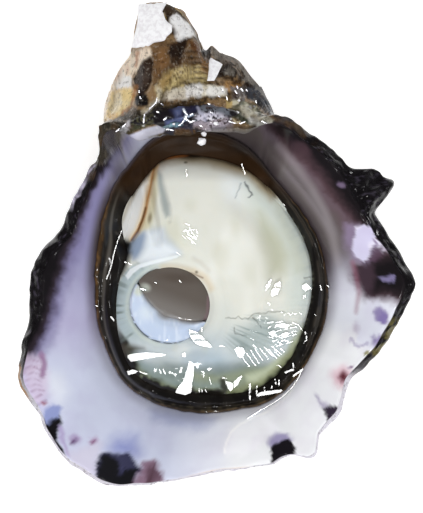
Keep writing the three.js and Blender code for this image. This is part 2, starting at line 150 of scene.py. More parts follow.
def crags(x, y, z, size, octaves=4):
    """Sharp-crested noise between 0 and 1: octaves of 1 - |noise|, each half as coarse and half as high."""
    total = sum(0.5**n * (1 - np.abs(noise(x * 2**n / size, y * 2**n / size, z * 2**n / size + 7 * n)))
                for n in range(octaves))
    return total / (2 - 0.5 ** (octaves - 1))


def wander(x, y, size, far):
    """Points moved by smooth noise up to far to each side, so that what is drawn at them has a ragged
    edge."""
    return x + far * noise(x / size, y / size, 3.3), y + far * noise(x / size, y / size, 8.8)


def specks(x, y):
    """Noise in specks a quarter to half a millimetre across."""
    return noise(x / 0.45, y / 0.45, 4.6) + 0.6 * noise(x / 0.22, y / 0.22, 1.2)


def by_bearing(values, bearing):
    """A closed smooth curve through values spread evenly round the compass."""
    return curve(values, bearing / 360 * len(values), True)


def lobes_at(bearing, lobes, which):
    """The sum at a bearing of the lobes' humps, in their reach (2) or lift (3)."""
    return sum(lobe[which] * hump(turn(lobe[0], bearing), lobe[1]) for lobe in lobes)


def shell_reach(bearing):
    """How far the valve reaches, with its lobes, its flutes and its knob."""
    return by_bearing(SHELL_REACH, bearing) + lobes_at(bearing, LOBES, 2) + lobes_at(bearing, KNOB, 2)


def calm_height(bearing):
    """The height of the margin without its lobes, which leans and sways a little round the compass."""
    return RIM_HEIGHT + 1.1 * np.cos(np.radians(bearing - 170)) + 0.7 * np.cos(np.radians(2 * bearing - 100))


def hinge_share(bearing):
    """1 along the hinge and 0 elsewhere."""
    return sector(bearing, 94, (-37, -17), (18, 36))


def lip_reach(bearing):
    """How far the hinge lip is from the origin: it bends outwards to both sides."""
    return LIP_REACH + 0.0024 * turn(93, bearing) ** 2


def section_keys(bearing):
    """Reach and height of the 16 keys of the section at each bearing, as the solid valve has them: the keys
    of the open margin mixed with those of the hinge, and the inside taking less of the lobes the deeper it
    lies."""
    calm, reach, knob = by_bearing(SHELL_REACH, bearing), shell_reach(bearing), lobes_at(bearing, KNOB, 2)
    rim = reach - knob - by_bearing(BRIM_WIDTH, bearing)
    wall = reach - 0.85 * knob
    top = calm_height(bearing) + lobes_at(bearing, LOBES, 3)
    depth = calm_height(bearing) - FLOOR
    lip = mix(reach, lip_reach(bearing), hinge_share(bearing))
    beak_top = mix(lip, reach, 0.22 + 0.7 * np.exp(-((turn(97, bearing) / 11) ** 2)))
    east, north = np.cos(np.radians(bearing)), np.sin(np.radians(bearing))
    width, length, northing = FLAT_SPOT
    spot = 1 / np.hypot(2 * east / width, 2 * north / length) + northing * north
    zero = 0 * bearing

    def nacre(outward, upward, share):
        return outward * calm + share * (rim - calm), FLOOR + upward * depth + share * (top - FLOOR - depth)

    open_keys = [
        (zero, zero + FLOOR), nacre(0.27, 0.03, 0), nacre(0.46, 0.15, 0), nacre(0.59, 0.36, 0.06),
        nacre(0.71, 0.61, 0.22), nacre(0.86, 0.86, 0.6), nacre(0.97, 0.985, 0.93), (rim, top),
        (mix(rim, reach, 0.55), top - 0.2 - 0.1 * (reach - rim)), (reach, top - 1.2 - 0.3 * (reach - rim)),
        (0.955 * wall, top - 6), (0.85 * wall, top - 12), (0.66 * wall, zero + 4.4), (spot, zero),
        (0.5 * spot, zero), (zero, zero),
    ]
    beak_keys = [
        (zero, zero + FLOOR), (0.3 * lip, FLOOR + 0.02 * depth), (0.6 * lip, FLOOR + 0.1 * depth),
        (0.84 * lip, FLOOR + 0.24 * depth), (1.03 * lip, FLOOR + 0.46 * depth),
        (1.05 * lip, FLOOR + 0.68 * depth), (lip, FLOOR + 0.84 * depth), (0.985 * lip, top - 0.9),
        (1.04 * lip, top - 0.1), (beak_top, top + 0.4),
        (reach, zero + 15), (0.97 * reach, zero + 10), (0.74 * reach, zero + 3.6), (spot, zero),
        (0.5 * spot, zero), (zero, zero),
    ]
    share = hinge_share(bearing)
    keys = np.array([[mix(o[0], b[0], share), mix(o[1], b[1], share)] for o, b in zip(open_keys, beak_keys)])
    return keys[:, 0], keys[:, 1]


HALF_DEGREES = np.arange(720) / 2


def height_table(first, last, reaches):
    """The height of the section between two of its keys, for every half degree of bearing and at each
    reach."""
    reach_keys, height_keys = section_keys(HALF_DEGREES)
    place = np.linspace(first, last, 90)[:, None]
    reach = np.maximum.accumulate(curve(reach_keys, place, False), axis=0)
    height = curve(height_keys, place, False)
    return np.array([np.interp(reaches, r, h) for r, h in zip(reach.T, height.T)])


def read_height(table, reaches, x, y):
    """The height under a point, read bilinearly from such a table."""
    column = bearing_of(x, y) % 360 * 2
    row = np.clip((np.hypot(x, y) - reaches[0]) / (reaches[1] - reaches[0]), 0, len(reaches) - 1.01)
    i, j = column.astype(int) % 720, row.astype(int)
    u, v = column - column.astype(int), row - j
    k = (i + 1) % 720
    return mix(mix(table[i, j], table[k, j], u), mix(table[i, j + 1], table[k, j + 1], u), v)


def even_bearings(count, reach_at):
    """Bearings spread evenly along an outline, found from its running length at fine steps."""
    fine = np.linspace(0, 360, 2881)
    run = running_length(np.stack(at(fine, reach_at(fine)), axis=1))
    bearings = np.interp(np.arange(count) * run[-1] / count, run, fine)
    return bearings, run[-1] * np.arange(count) / count


def patch(x, y, centre, radii, tilt=0.0, soft=0.6):
    """1 inside a tilted oval, falling smoothly to 0 over the outer soft share of it."""
    c, s = np.cos(np.radians(tilt)), np.sin(np.radians(tilt))
    u, v = x - centre[0], y - centre[1]
    distance = np.hypot((u * c + v * s) / radii[0], (v * c - u * s) / radii[1])
    return 1 - ramp(distance, 1 - soft, 1)


def stroke(x, y, points, width):
    """1 on a line through the points, falling smoothly to 0 at width to either side."""
    nearest = np.full(np.shape(x), 1e9)
    for (ax, ay), (bx, by) in zip(points[:-1], points[1:]):
        t = np.clip(((x - ax) * (bx - ax) + (y - ay) * (by - ay)) / ((bx - ax) ** 2 + (by - ay) ** 2), 0, 1)
        nearest = np.minimum(nearest, np.hypot(x - mix(ax, bx, t), y - mix(ay, by, t)))
    return 1 - ramp(nearest, 0, width)


def depth_in(x, y, corners):
    """How far inside a closed outline a point is, in millimetres; outside it the distance is negative."""
    nearest = np.full(np.shape(x), 1e9)
    inside = np.zeros(np.shape(x), bool)
    for (ax, ay), (bx, by) in zip(corners, corners[1:] + corners[:1]):
        t = np.clip(((x - ax) * (bx - ax) + (y - ay) * (by - ay)) / ((bx - ax) ** 2 + (by - ay) ** 2), 0, 1)
        nearest = np.minimum(nearest, np.hypot(x - mix(ax, bx, t), y - mix(ay, by, t)))
        inside ^= ((ay > y) != (by > y)) & (x < ax + (y - ay) * (bx - ax) / (by - ay or 1))
    return np.where(inside, nearest, -nearest)


def area(x, y, corners, soft):
    """1 inside a closed outline and 0 outside, changing smoothly over soft millimetres to each side of
    it."""
    return ramp(depth_in(x, y, corners), -soft, soft)


LAST_KEY = 15


def at_key(number):
    """The share of the section at which one of its keys lies, or a place between two of them."""
    return number / LAST_KEY


EDGE = at_key(7)  # where the nacre reaches the brim
# Outlines on the beak: each has a relief or a finish of its own besides its colour.
FACET = [
    (-11.3, 50), (-10.7, 49.1), (-10.8, 47.2), (-11, 44.8), (-12, 43.2), (-13.2, 41.6), (-13.6, 41.9),
    (-14.3, 43.6), (-14.9, 45.7), (-13.7, 48.3), (-12.2, 49.5),
]
HOLLOW = [(-7.5, 52.8), (-4.2, 53.8), (-3.6, 52), (-4.6, 49.7), (-5.2, 47.9), (-6.8, 48.9)]
CHALK_LUMP = [
    (-7.3, 57.9), (-6, 58.9), (-4.7, 57.9), (-3.2, 57.1), (-1.9, 56.1), (-2.3, 54.8), (-3.7, 53.8),
    (-5.2, 53.5), (-6, 54), (-6.2, 55.8), (-7.3, 56.8),
]
LEDGE = [
    (-8.3, 42.7), (-4.2, 44.1), (-0.9, 44.6), (4.2, 43.9), (4.5, 41.8), (0.4, 41.9), (-4.7, 41.1),
    (-8.8, 40.9),
]
RIGHT_CRAG = [
    (1.3, 52.9), (4.5, 53), (8.1, 50.7), (11.4, 47.9), (13.7, 44.1), (11.4, 44.6), (8.1, 45.2), (5.5, 46.4),
    (4, 46.6), (3.2, 47.9), (3, 49.4), (1.9, 50.5),
]
NOTCH = [(-1.1, 53), (1.2, 53), (1.3, 50.5), (0.5, 49.4), (-0.4, 50.5)]
WET_LUMPS = [(5.1, 44.1), (8.1, 44.7), (8.5, 42.3), (7.6, 39.7), (6.3, 40), (5.5, 41.8)]
CRYSTALS = [
    (-2.2, 37.9), (-1.4, 39.5), (2.4, 40), (5.3, 38.9), (5.8, 35.1), (3, 34), (-0.6, 34.5), (-2.4, 35.9),
]
BESIDE_HINGE = [
    (-22.1, 36.4), (-14.1, 36.4), (-16.2, 35.1), (-17.7, 32.6), (-19, 31.3), (-20.9, 28), (-23, 28),
]
LIP_BAND = [
    (-18.8, 31.5), (-16, 33.8), (-12.4, 35.3), (-9.3, 36.1), (-8.2, 35.1), (-8.7, 34.5), (-11.6, 33.6),
    (-14.2, 31.5), (-16, 28.5), (-17.5, 25.9), (-21.1, 25.9),
]


def terraces(x, y):
    """A number that rises by 1 from each arc of growth round the ligament to the next."""
    return np.hypot(x + 2.6, y - 38.6) / 1.05 + 0.35 * noise(x / 2.6, y / 2.6, 6.1)


def beak_relief(x, y):
    """How the beak's upper side departs from its smooth section: growth terraces in arcs round the
    ligament, a cream ledge above it, a brown hollow, a sunk facet on the left, a lump of chalk at the tip,
    and crags that are roughest on the right."""
    u, v = wander(x, y, 1.5, 0.25)
    relief = 0.5 * (1 - terraces(x, y) % 1) * patch(x, y, (-3, 47), (9.5, 7.5), 0, 0.5)
    relief = relief + 1.1 * area(u, v, LEDGE, 0.3) + 1.1 * area(u, v, CHALK_LUMP, 0.5)
    relief = relief - 1.9 * ramp(depth_in(u, v, HOLLOW), -0.6, 2.2)
    relief = relief - 1.3 * area(u, v, FACET, 0.35) * (0.5 + 0.12 * (x + 14.7))
    relief = relief + 1.3 * area(u, v, RIGHT_CRAG, 0.4) - 1.4 * area(u, v, NOTCH, 0.4)
    relief = relief + 1.2 * area(u, v, WET_LUMPS, 0.6) * (crags(x, y, 4.4, 2.0, 2) - 0.3)
    wild = 0.35 + 0.65 * ramp(x, -1, 5) + 0.4 * ramp(y, 52, 56) + 0.3 * ramp(-y, -42, -36)
    return relief + wild * (3.2 * (crags(x, y, 2.5, 5.0) - 0.66)) + 0.35 * (crags(x, y, 6.5, 1.1, 3) - 0.7)


def valve_surface(bearing, run, share):
    """Points of the valve on a grid of shares and bearings. The section's keys are joined by Catmull-Rom
    curves. To that come the layers' overhanging steps on the outside, the lumps of the brim, a crinkled
    margin and the relief of the beak."""
    reach_keys, height_keys = section_keys(bearing)
    reach = curve(reach_keys, share * LAST_KEY, False)
    height = np.maximum(0, curve(height_keys, share * LAST_KEY, False))
    hinge = hinge_share(bearing)
    outer = ramp(share, at_key(8.9), at_key(9.8)) * (1 - ramp(share, 0.8, at_key(12.6)))
    ragged = 0.35 * noise(bearing / 9, 2.5) + 0.2 * noise(bearing / 4, 7.5, 3.5)
    layer = 1 - (12 * share + ragged) % 1
    leaf = 1 - (47 * share + 4 * ragged + 0.5 * noise(run / 2.2, share * 20)) % 1
    ribs = 0.6 * noise(run / 5, share * 3, 9.5)
    relief = 0.9 * layer - 0.3 + 0.7 * noise(bearing / 7, share * 14, 1.5) + 0.35 * leaf + ribs
    reach = reach + outer * (relief - 1.7 * (1 - ramp(share, at_key(9.6), at_key(11))))
    # The margin: frills a few millimetres long, and finer tears along the very edge.
    frill = hump(share - EDGE - 0.03, 0.12)
    tear = hump(share - EDGE - 0.09, 0.06)
    reach = reach + frill * 0.45 * noise(run / 3.1, 3.3) + tear * (0.5 * noise(run / 1.2, 5.1) - 0.1)
    height = height + frill * 0.4 * noise(run / 4.2, share * 9, 6.2) + tear * 0.3 * noise(run / 1.3, 8.8)
    # The brim: wet lumps, as high as the brim is wide.
    brim = ramp(share, EDGE, EDGE + 0.02) * (1 - ramp(share, at_key(9.4), at_key(10.2))) * (1 - hinge)
    brim = brim * (by_bearing(BRIM_WIDTH, bearing) + 0.4 * lobes_at(bearing, KNOB, 2))
    x, y = at(bearing, np.maximum(0, reach))
    height = height + brim * (0.75 * crags(x, y, height, 3.2) - 0.42)
    beak = hinge * ramp(share, at_key(7.4), at_key(8.4)) * (1 - ramp(share, at_key(10), at_key(11.4)))
    height = height + beak * beak_relief(x, y)
    height = np.where(share > 0.85, np.maximum(0, height), height)
    return x, y, height


def solid(name, x, y, z, ends, fields=None):
    """A closed mesh from grids of points in millimetres, rows by columns, each row going round. With ends,
    the first and last rows are single points, as a globe's poles; without, the last row joins the first, as
    a tyre's. Grids may be stacked for several such bodies in one mesh. fields are grids of numbers, or of
    colours, that the material reads as point attributes."""
    x, y, z = [grid.reshape((-1,) + grid.shape[-2:]) for grid in (x, y, z)]
    bodies, rows, columns = x.shape
    inner = slice(1, rows - 1) if ends else slice(0, rows)

    def flat(grid):
        skin = grid[:, inner].reshape((bodies, -1) + grid.shape[3:])
        every = np.concatenate([grid[:, 0, :1], skin, grid[:, -1, :1]], axis=1) if ends else skin
        return every.reshape((-1,) + grid.shape[3:])

    points = np.stack([flat(x), flat(y), flat(z)], axis=1) * MM
    column = np.arange(columns)
    across = (column + 1) % columns
    row = np.arange(rows - 3 if ends else rows)[:, None]
    start = 1 if ends else 0
    low, high = start + row * columns, start + (row + 1) % (rows - start * 2) * columns
    faces = [np.stack([low + column, low + across, high + across, high + column], axis=2).reshape(-1, 4)]
    if ends:
        last = (rows - 2) * columns + 1
        faces.append(np.stack([0 * column, 1 + across, 1 + column], axis=1))
        faces.append(np.stack([0 * column + last, last - columns + column, last - columns + across], axis=1))
    size = len(points) // bodies
    a, b, c = [points[faces[0][:, k]] for k in (0, 1, 2)]
    if np.einsum("ij,ij->i", a - points[0], np.cross(b - points[0], c - points[0])).sum() < 0:
        faces = [f[:, ::-1] for f in faces]
    shift = np.arange(bodies)[:, None, None] * size
    faces = [(f + shift).reshape(-1, f.shape[1]) for f in faces]
    mesh = bpy.data.meshes.new(name)
    mesh.vertices.add(len(points))
    mesh.vertices.foreach_set("co", points.ravel())
    sizes = np.concatenate([np.full(len(f), f.shape[1]) for f in faces])
    mesh.loops.add(int(sizes.sum()))
    mesh.loops.foreach_set("vertex_index", np.concatenate([f.ravel() for f in faces]).astype(np.int32))
    mesh.polygons.add(len(sizes))
    mesh.polygons.foreach_set("loop_start", np.concatenate([[0], np.cumsum(sizes)[:-1]]).astype(np.int32))
    mesh.update(calc_edges=True)
    mesh.shade_smooth()
    for field, grid in (fields or {}).items():
        colours = grid.shape[-1] == 3
        shape = x.shape + (3,) if colours else x.shape
        values = flat(np.broadcast_to(grid, shape).reshape(shape))
        if colours:
            rgba = np.concatenate([values, np.ones((len(values), 1))], axis=1)
            paint = mesh.attributes.new(field, "FLOAT_COLOR", "POINT")
            paint.data.foreach_set("color", rgba.astype(np.float32).ravel())
        else:
            mesh.attributes.new(field, "FLOAT", "POINT").data.foreach_set("value", values.astype(np.float32))
    mesh.validate()
    made = bpy.data.objects.new(name, mesh)
    bpy.context.scene.collection.objects.link(made)
    return made


def colour(red, green, blue):
    """A display colour, 0 to 255 each, as the linear light that the shaders use."""
    c = np.array([red, green, blue]) / 255
    return np.where(c <= 0.04045, c / 12.92, ((c + 0.055) / 1.055) ** 2.4)


def layered(base, coats):
    """Paint: the base colour with each coat laid over it where its mask is above 0."""
    paint = base
    for tint, mask in coats:
        paint = mix(paint, colour(*tint), np.clip(mask, 0, 1)[..., None])
    return paint


# The outer edge of the mantle, which lies on the nacre.
MANTLE_REACH = np.array([
    26.1, 26.4, 26.9, 27.6, 29.3, 33.6, 35.8, 36.2, 32.8, 28.7, 25.6, 24,
    23.2, 23.4, 23.8, 24.7, 24.8, 24.2, 24.2, 24.2, 25.4, 25.5, 25.2, 25.6,
])


def mantle_reach(bearing):
    """How far the mantle's outer edge is from the origin."""
    return by_bearing(MANTLE_REACH, bearing)


# The outlines of the black pigment along the margin, drawn well beyond the edge of the valve.
BLACK_LEFT = [
    (-17.4, 33.8), (-19.5, 30.8), (-20.9, 27.9), (-22.4, 24.6), (-23.9, 21.2), (-25.1, 17.9), (-26.2, 14.5),
    (-27.6, 11.2), (-29.1, 7.8), (-30.2, 4.5), (-31, 1.1), (-31.6, -2.2), (-32.9, -5.6), (-33.9, -8.9),
    (-35, -10.8), (-37.1, -12.1), (-42.9, -13.1), (-42.9, 20.8), (-28.3, 29.2), (-20.7, 33.4),
]
BLACK_RIGHT = [
    (11.9, 38), (14, 35), (16.7, 32.1), (20.1, 28.5), (23.4, 25.4), (25.5, 22.1), (28.7, 18.7), (30.3, 16.2),
    (32, 15.4), (36.6, 11.2), (47.1, 8.2), (47.1, 41.7),
]
BLACK_MASS = [
    (33.4, 7.8), (35.1, 9), (37.2, 9.9), (41, 10.2), (48.6, 9.7), (48.6, 0.6), (41, -0.4), (37.2, 1),
    (33.9, 0.7), (33, 3), (31.7, 4.9), (31.3, 6.6),
]

# Marks near the black mass: a white patch with a tongue to its right, and two purple spots lower down.
WHITE_PATCH = [
    (31.1, 14.8), (33, 15.7), (34.4, 13.5), (36.3, 11.8), (34.8, 9.7), (33.3, 8), (31.6, 8.6), (30.5, 11.1),
    (31.6, 13),
]
WHITE_TONGUE = [(35.3, 12.2), (37.2, 11.6), (39.6, 12.2), (39.1, 10.2), (36.3, 9.9)]
UPPER_SPOT = [(35.1, -2.2), (36.3, -1.3), (37.7, -2.7), (38.4, -5.1), (36.7, -4.6), (35.3, -4.1)]
LOWER_SPOT = [(34.1, -7.5), (36.3, -7.2), (37.2, -9.4), (34.8, -9.4)]
# Short curved lines side by side along the margin at the lower left.
MAUVE_LINES = [
    [(-37.1, -12.8), (-35.7, -12.3), (-33.8, -12.7)], [(-37.3, -13.9), (-35.4, -13.6), (-33.7, -14.5)],
    [(-37.1, -15.2), (-35.1, -14.9), (-33.7, -15.4)], [(-36.9, -16.5), (-35.1, -16.1), (-33.8, -16.7)],
    [(-36.5, -17.7), (-35, -17.3), (-33.7, -17.6)], [(-35.7, -18.8), (-34.5, -18.4), (-33.1, -18.7)],
    [(-35.2, -20.1), (-33.7, -19.5)], [(-34.4, -21.4), (-32.7, -20.7)],
]


def nacre_paint(bearing, x, y):
    """Colours of the inside: lavender-white, darker on the left and on the upper right, partly in its own
    tone and partly by painted shade, with the purple-black pigment along the margin on both sides and
    in single blots along the bottom."""
    reach = np.hypot(x, y)
    inward = shell_reach(bearing) - lobes_at(bearing, KNOB, 2) - reach
    beyond = reach - mantle_reach(bearing)
    wisps = noise(bearing / 1.1, inward / 6, 4.4)
    streaks = noise(bearing / 3.2, inward / 9, 2.2) + 0.4 * wisps
    u, v = wander(*wander(x, y, 1.6, 0.45), 0.55, 0.28)
    left = depth_in(u, v, BLACK_LEFT) + 0.12 * streaks
    right = np.maximum(depth_in(u, v, BLACK_RIGHT), depth_in(u, v, BLACK_MASS)) + 0.15 * streaks
    # The left wall and the upper right are darker, partly in the nacre's own tone and partly by painted
    # shade.
    left_dusk_and_shade = ramp(x, -15, -22) * ramp(y, -12, 14)
    shade = sector(bearing, 48, (-50, -26), (30, 42))
    flow = ramp(noise(beyond / 0.9, bearing / 40, 3.1), -0.1, 0.6)
    ribs = ramp(noise(bearing / 1.3, inward / 8, 6.4), 0.0, 0.7)
    coats = [
        ((204, 210, 234), ramp(-x, -4, 12) * 0.8),
        ((240, 241, 242), area(u, v, [
            (20.4, -14.1), (18.7, -18.1), (16.3, -20.5), (13, -22.6), (9.7, -23.8), (6.6, -25.7),
            (4.8, -28.1), (4, -31), (4.4, -36.7), (15.8, -39.5), (26.3, -32.9), (33.9, -20.5), (33.9, -6.2),
            (25.4, -6.2),
        ], 2.5) * 0.8),
        ((236, 240, 246), patch(u, v, (-31, -18.5), (4, 6), 0, 0.9) * 0.6),
        # Darker lavender on the left wall: partly its own tone and partly painted shade.
        ((140, 136, 176), left_dusk_and_shade * (1 - 0.5 * ramp(-y, -2, 10))),
        ((174, 162, 202), ramp(x, -13, -20) * ramp(y, -16, -2) * (1 - left_dusk_and_shade) * 0.7),
        ((206, 205, 218), area(u, v, [
            (-19.5, 32.3), (-16, 34.1), (-12.4, 35.6), (-8.3, 36.1), (-8.3, 34.1), (-11.6, 33.3),
            (-14.2, 31.3), (-16, 28.5), (-18.5, 27.4),
        ], 1.2) * 0.9),
        # Grey-brown on the upper right wall, partly its own tone and partly painted shade, with lighter
        # streaks.
        ((150, 144, 160), shade * ramp(y, -6, 2)),
        ((104, 96, 96), shade * ramp(y, 3, 12)),
        ((134, 126, 130), shade * flow * ramp(y, 0, 10) * hump(beyond - 2.2, 2.6) * 0.7),
        # Painted shade, over a brownish membrane, on the nacre of the hinge cavity under the lip.
        ((96, 88, 86), hinge_share(bearing) * ramp(x, -12, 6)),
        ((176, 168, 206), (1 - ramp(inward, 1.0, 6.5)) * sector(bearing, 207, (-9, -2), (3, 12)) * 0.7),
        ((150, 104, 140), ribs * (1 - ramp(inward, 3, 6)) * sector(bearing, 205, (-10, -4), (4, 9)) * 0.7),
        ((130, 126, 164), ramp(left, -3.4, -1.0) * 0.75), ((96, 90, 118), ramp(left, -1.5, 0.0)),
        ((44, 36, 44), ramp(left, -0.5, 0.8)), ((20, 17, 20), ramp(left, 0.5, 1.8)),
        ((126, 112, 124), ramp(right, -2.4, -0.6) * 0.7), ((74, 58, 64), ramp(right, -0.9, 0.3)),
        ((40, 31, 35), ramp(right, -0.1, 1.0)), ((24, 20, 23), ramp(right, 0.8, 2.6)),
        ((26, 20, 24), area(u, v, [
            (-18.1, 32.2), (-19.9, 28.2), (-23.3, 21.9), (-25.3, 17.8), (-27.9, 17.3), (-28.4, 19.2),
            (-26, 24.5), (-23.2, 28.5), (-19.8, 33.1),
        ], 0.7)),
        ((92, 70, 76), area(u, v, [
            (15.3, 33.1), (20.5, 30.7), (26, 24), (30.3, 17.3), (31.7, 11.6), (29.1, 13.5), (25.5, 18.8),
            (22, 23.5), (18.1, 28.3), (14.8, 31.6),
        ], 1.6) * 0.6),
        ((168, 160, 164), stroke(x, y, [
            (15.3, 31.9), (18.6, 28), (22, 23.5), (24.9, 18.3), (26.7, 13.5), (27.8, 7.8),
        ], 1.5) * 0.4),
        ((82, 60, 68), patch(u, v, (20.1, 31.1), (3.4, 1.6), -38, 0.9) * 0.5),
        ((72, 54, 62), patch(u, v, (31.5, 23), (2.6, 1.3), -48, 0.9) * 0.6),
        ((120, 104, 130), patch(u, v, (28.1, 24.1), (1.3, 0.8), -40, 0.9) * 0.9),
        # The white patch and the light marks at the right, and the reddish streaks beside the black mass.
        ((150, 134, 162), area(u, v, [
            (28.9, 15.9), (31.5, 15.4), (35.3, 12.6), (37.2, 10.6), (33.4, 7.3), (30.8, 7.8), (29.3, 11.6),
        ], 1.0) * 0.8),
        ((232, 228, 246), np.maximum(area(u, v, WHITE_PATCH, 0.3), area(u, v, WHITE_TONGUE, 0.3) * 0.8)
         * ramp(wisps, -1.1, -0.5)),
        ((120, 96, 140), stroke(u, v, [(34.4, 13.5), (35.3, 11.6), (34.4, 9.7)], 0.5) * 0.8),
        ((84, 60, 78), area(u, v, [
            (34.1, 10.2), (36.3, 11.6), (37.2, 9.7), (35.3, 7.8), (33.9, 8.3),
        ], 0.5) * 0.8),
        ((216, 212, 238), area(u, v, [
            (31.4, 14.2), (32.4, 15.3), (34, 15.2), (35.4, 13), (34, 11.6), (34.3, 9.7), (33.2, 7.8),
            (31.6, 8.6), (30.4, 10.2), (30.7, 11.6), (31.5, 12.7),
        ], 0.35)),
        ((178, 158, 178), area(u, v, [
            (37, 11.6), (38.4, 12.3), (40.5, 10.6), (39.6, 9.7), (37.2, 10.2),
        ], 0.4) * 0.8),
        ((120, 78, 62), patch(u, v, (40.6, 9.4), (1.2, 1.0), -40, 0.9) * 0.8),
        ((66, 50, 60), area(u, v, [
            (31.3, 6.6), (34.8, 7.8), (35.3, 4.9), (34, 0.6), (32.7, 2.1), (31.7, 4.5),
        ], 0.8) * 0.9),
        ((128, 120, 158), area(u, v, [
            (35.7, 4.7), (37.7, 4.9), (39.1, 5.2), (38.9, 3.8), (37.2, 3.6),
        ], 0.3)),
        ((150, 92, 112), stroke(x, y, [(30.8, 7.8), (31.5, 4.9), (32.1, 1.6), (31.6, -2.7)], 0.9) * 0.5),
        ((226, 228, 240), area(u, v, [
            (32.4, -1.3), (36.3, -0.1), (37.7, -2.2), (37.4, -6), (35.3, -9.4), (31.5, -9.4), (31.7, -4.6),
        ], 0.8)),
        ((118, 98, 158), np.maximum(area(u, v, UPPER_SPOT, 0.5), area(u, v, LOWER_SPOT, 0.6)) * 0.8),
        ((132, 118, 172), area(u, v, [
            (35.8, -2.8), (36.8, -2), (37.8, -3.2), (37.2, -4.6), (36.2, -4.4),
        ], 0.4) * 0.85),
        ((150, 120, 150), patch(u, v, (31.6, -6), (1.2, 2.2), 0, 0.9) * 0.4),
        # A blue-grey band below the mantle at the bottom: partly a bluish streak and partly painted shade.
        ((146, 154, 194), area(u, v, [
            (-11.5, -23.4), (-6.3, -23.2), (-0.2, -23.7), (2.6, -24.9), (1.1, -26.6), (-2.8, -27.2),
            (-7.2, -26.7), (-11.1, -25.3),
        ], 1.6) * 0.55),
        # Blots along the bottom, from the left: most have a blue or mauve fringe towards the middle.
        ((220, 202, 222), area(u, v, [
            (-37.6, -11.4), (-33.2, -11.4), (-32.4, -14.9), (-32.8, -19.3), (-33.7, -21.4), (-35.4, -20.6),
            (-37.1, -17.1),
        ], 1.0) * 0.6),
        *[((140, 98, 138), stroke(x, y, line, 0.34) * (0.4 + 0.3 * wisps)) for line in MAUVE_LINES],
        ((128, 80, 120), stroke(x, y, [(-33.9, -11.4), (-33.1, -12.7), (-33.6, -15.7)], 0.9) * 0.6),
        ((150, 110, 150), stroke(u, v, [(-33.5, -10.9), (-32.9, -13.5), (-33.5, -15.7)], 0.7) * 0.6),
        ((150, 84, 104), patch(u, v, (-33.2, -21), (1.0, 0.5), 25, 0.9) * 0.8),
        ((148, 158, 206), area(u, v, [
            (-33.3, -22.2), (-31.7, -21.4), (-29.8, -22.5), (-30, -25.1), (-32.1, -25.8), (-33.3, -24.7),
        ], 0.5)),
        ((34, 32, 40), area(u, v, [
            (-35.7, -24.3), (-33.1, -24.8), (-31.9, -25.6), (-29.8, -24), (-29.6, -24.8), (-30.3, -26.9),
            (-30.3, -28.7), (-29.3, -31.2), (-32.8, -31.2), (-37.1, -26.5),
        ], 0.35)),
        ((20, 18, 22), area(u, v, [
            (-34.6, -25.3), (-32.1, -25), (-30.6, -24.4), (-29.5, -25.1), (-30.1, -27.5), (-29.8, -30.1),
            (-28.7, -32.5), (-31.5, -30.8), (-33.7, -28.2),
        ], 0.4)),
        ((16, 14, 16), area(u, v, [
            (-35.7, -25.1), (-32.8, -25.8), (-31.2, -27.2), (-30.7, -29.4), (-30.1, -31.2), (-33.9, -31.2),
            (-37.1, -26.5),
        ], 0.4)),
        ((172, 154, 200), stroke(u, v, [(-29.6, -26.5), (-29, -29.4), (-28.4, -31.6)], 0.8) * 0.7),
        ((168, 146, 188), patch(u, v, (-26.8, -28.7), (1.9, 1.5), -20, 0.9) * 0.8),
        ((104, 76, 116), patch(u, v, (-27, -29.2), (1.0, 0.7), 30, 0.9)),
        ((180, 150, 186), patch(u, v, (-23.1, -29.1), (1.6, 1.5), 0, 0.9) * 0.8),
        ((128, 74, 116), patch(u, v, (-23.2, -29.4), (0.8, 0.9), 0, 0.9)),
        ((212, 204, 222), area(u, v, [
            (-28.4, -31.2), (-21.2, -29.4), (-21.9, -33.7), (-22.7, -37.4), (-27.4, -35.2),
        ], 1.2) * 0.6),
        ((146, 154, 204), area(u, v, [
            (-19, -28.9), (-14.3, -28.6), (-13.6, -31.6), (-16.1, -33), (-19, -32.3), (-20, -30.6),
        ], 2.6)),
        ((58, 58, 84), area(u, v, [
            (-22, -32.4), (-19.8, -31.5), (-17.6, -32.1), (-15.6, -31.6), (-14.3, -33.7), (-12.9, -35.1),
            (-14.1, -36.3), (-15.1, -40.6), (-23.4, -40.6),
        ], 0.5)),
        ((22, 22, 26), area(u, v, [
            (-21.8, -32.8), (-19.8, -32), (-18.1, -33), (-17.6, -34.8), (-15.8, -35.2), (-13.8, -34.8),
            (-14.3, -36.3), (-15.4, -40.6), (-23.4, -40.6), (-22.1, -35.2),
        ], 0.45)),
        ((70, 70, 104), patch(u, v, (-17.4, -35.2), (1.0, 1.3), 0, 0.9) * 0.7),
        ((128, 92, 112), area(u, v, [
            (-12.7, -33.7), (-10.3, -33.2), (-8.7, -35.2), (-7.8, -40.6), (-15.8, -40.6), (-14.3, -37),
        ], 0.7) * 0.9),
        ((78, 52, 62), area(u, v, [
            (-12.2, -34.8), (-10.3, -34.1), (-9.1, -35.5), (-8.5, -40.6), (-12.9, -40.6),
        ], 0.5) * (0.7 + 0.3 * wisps)),
        ((124, 112, 164), area(u, v, [
            (13.3, -30), (13.9, -27.9), (16.8, -27.5), (18.2, -29.1), (16.8, -30), (14.2, -31),
        ], 0.7) * 0.8),
        ((20, 17, 22), area(u, v, [
            (13.7, -31), (14.3, -29.6), (16.1, -29.2), (17.5, -28.8), (18.5, -30.5), (18.8, -32.9),
            (16.3, -37.6), (13.9, -37.6),
        ], 0.3)),
        ((128, 112, 158), stroke(u, v, [(23.2, -20.1), (25, -21.9), (26.3, -23.4)], 0.8) * 0.6),
        ((48, 38, 54), area(u, v, [
            (24.4, -22.2), (26.8, -22.2), (30, -23.4), (31, -27), (27, -26.4), (25, -24.8),
        ], 0.4)),
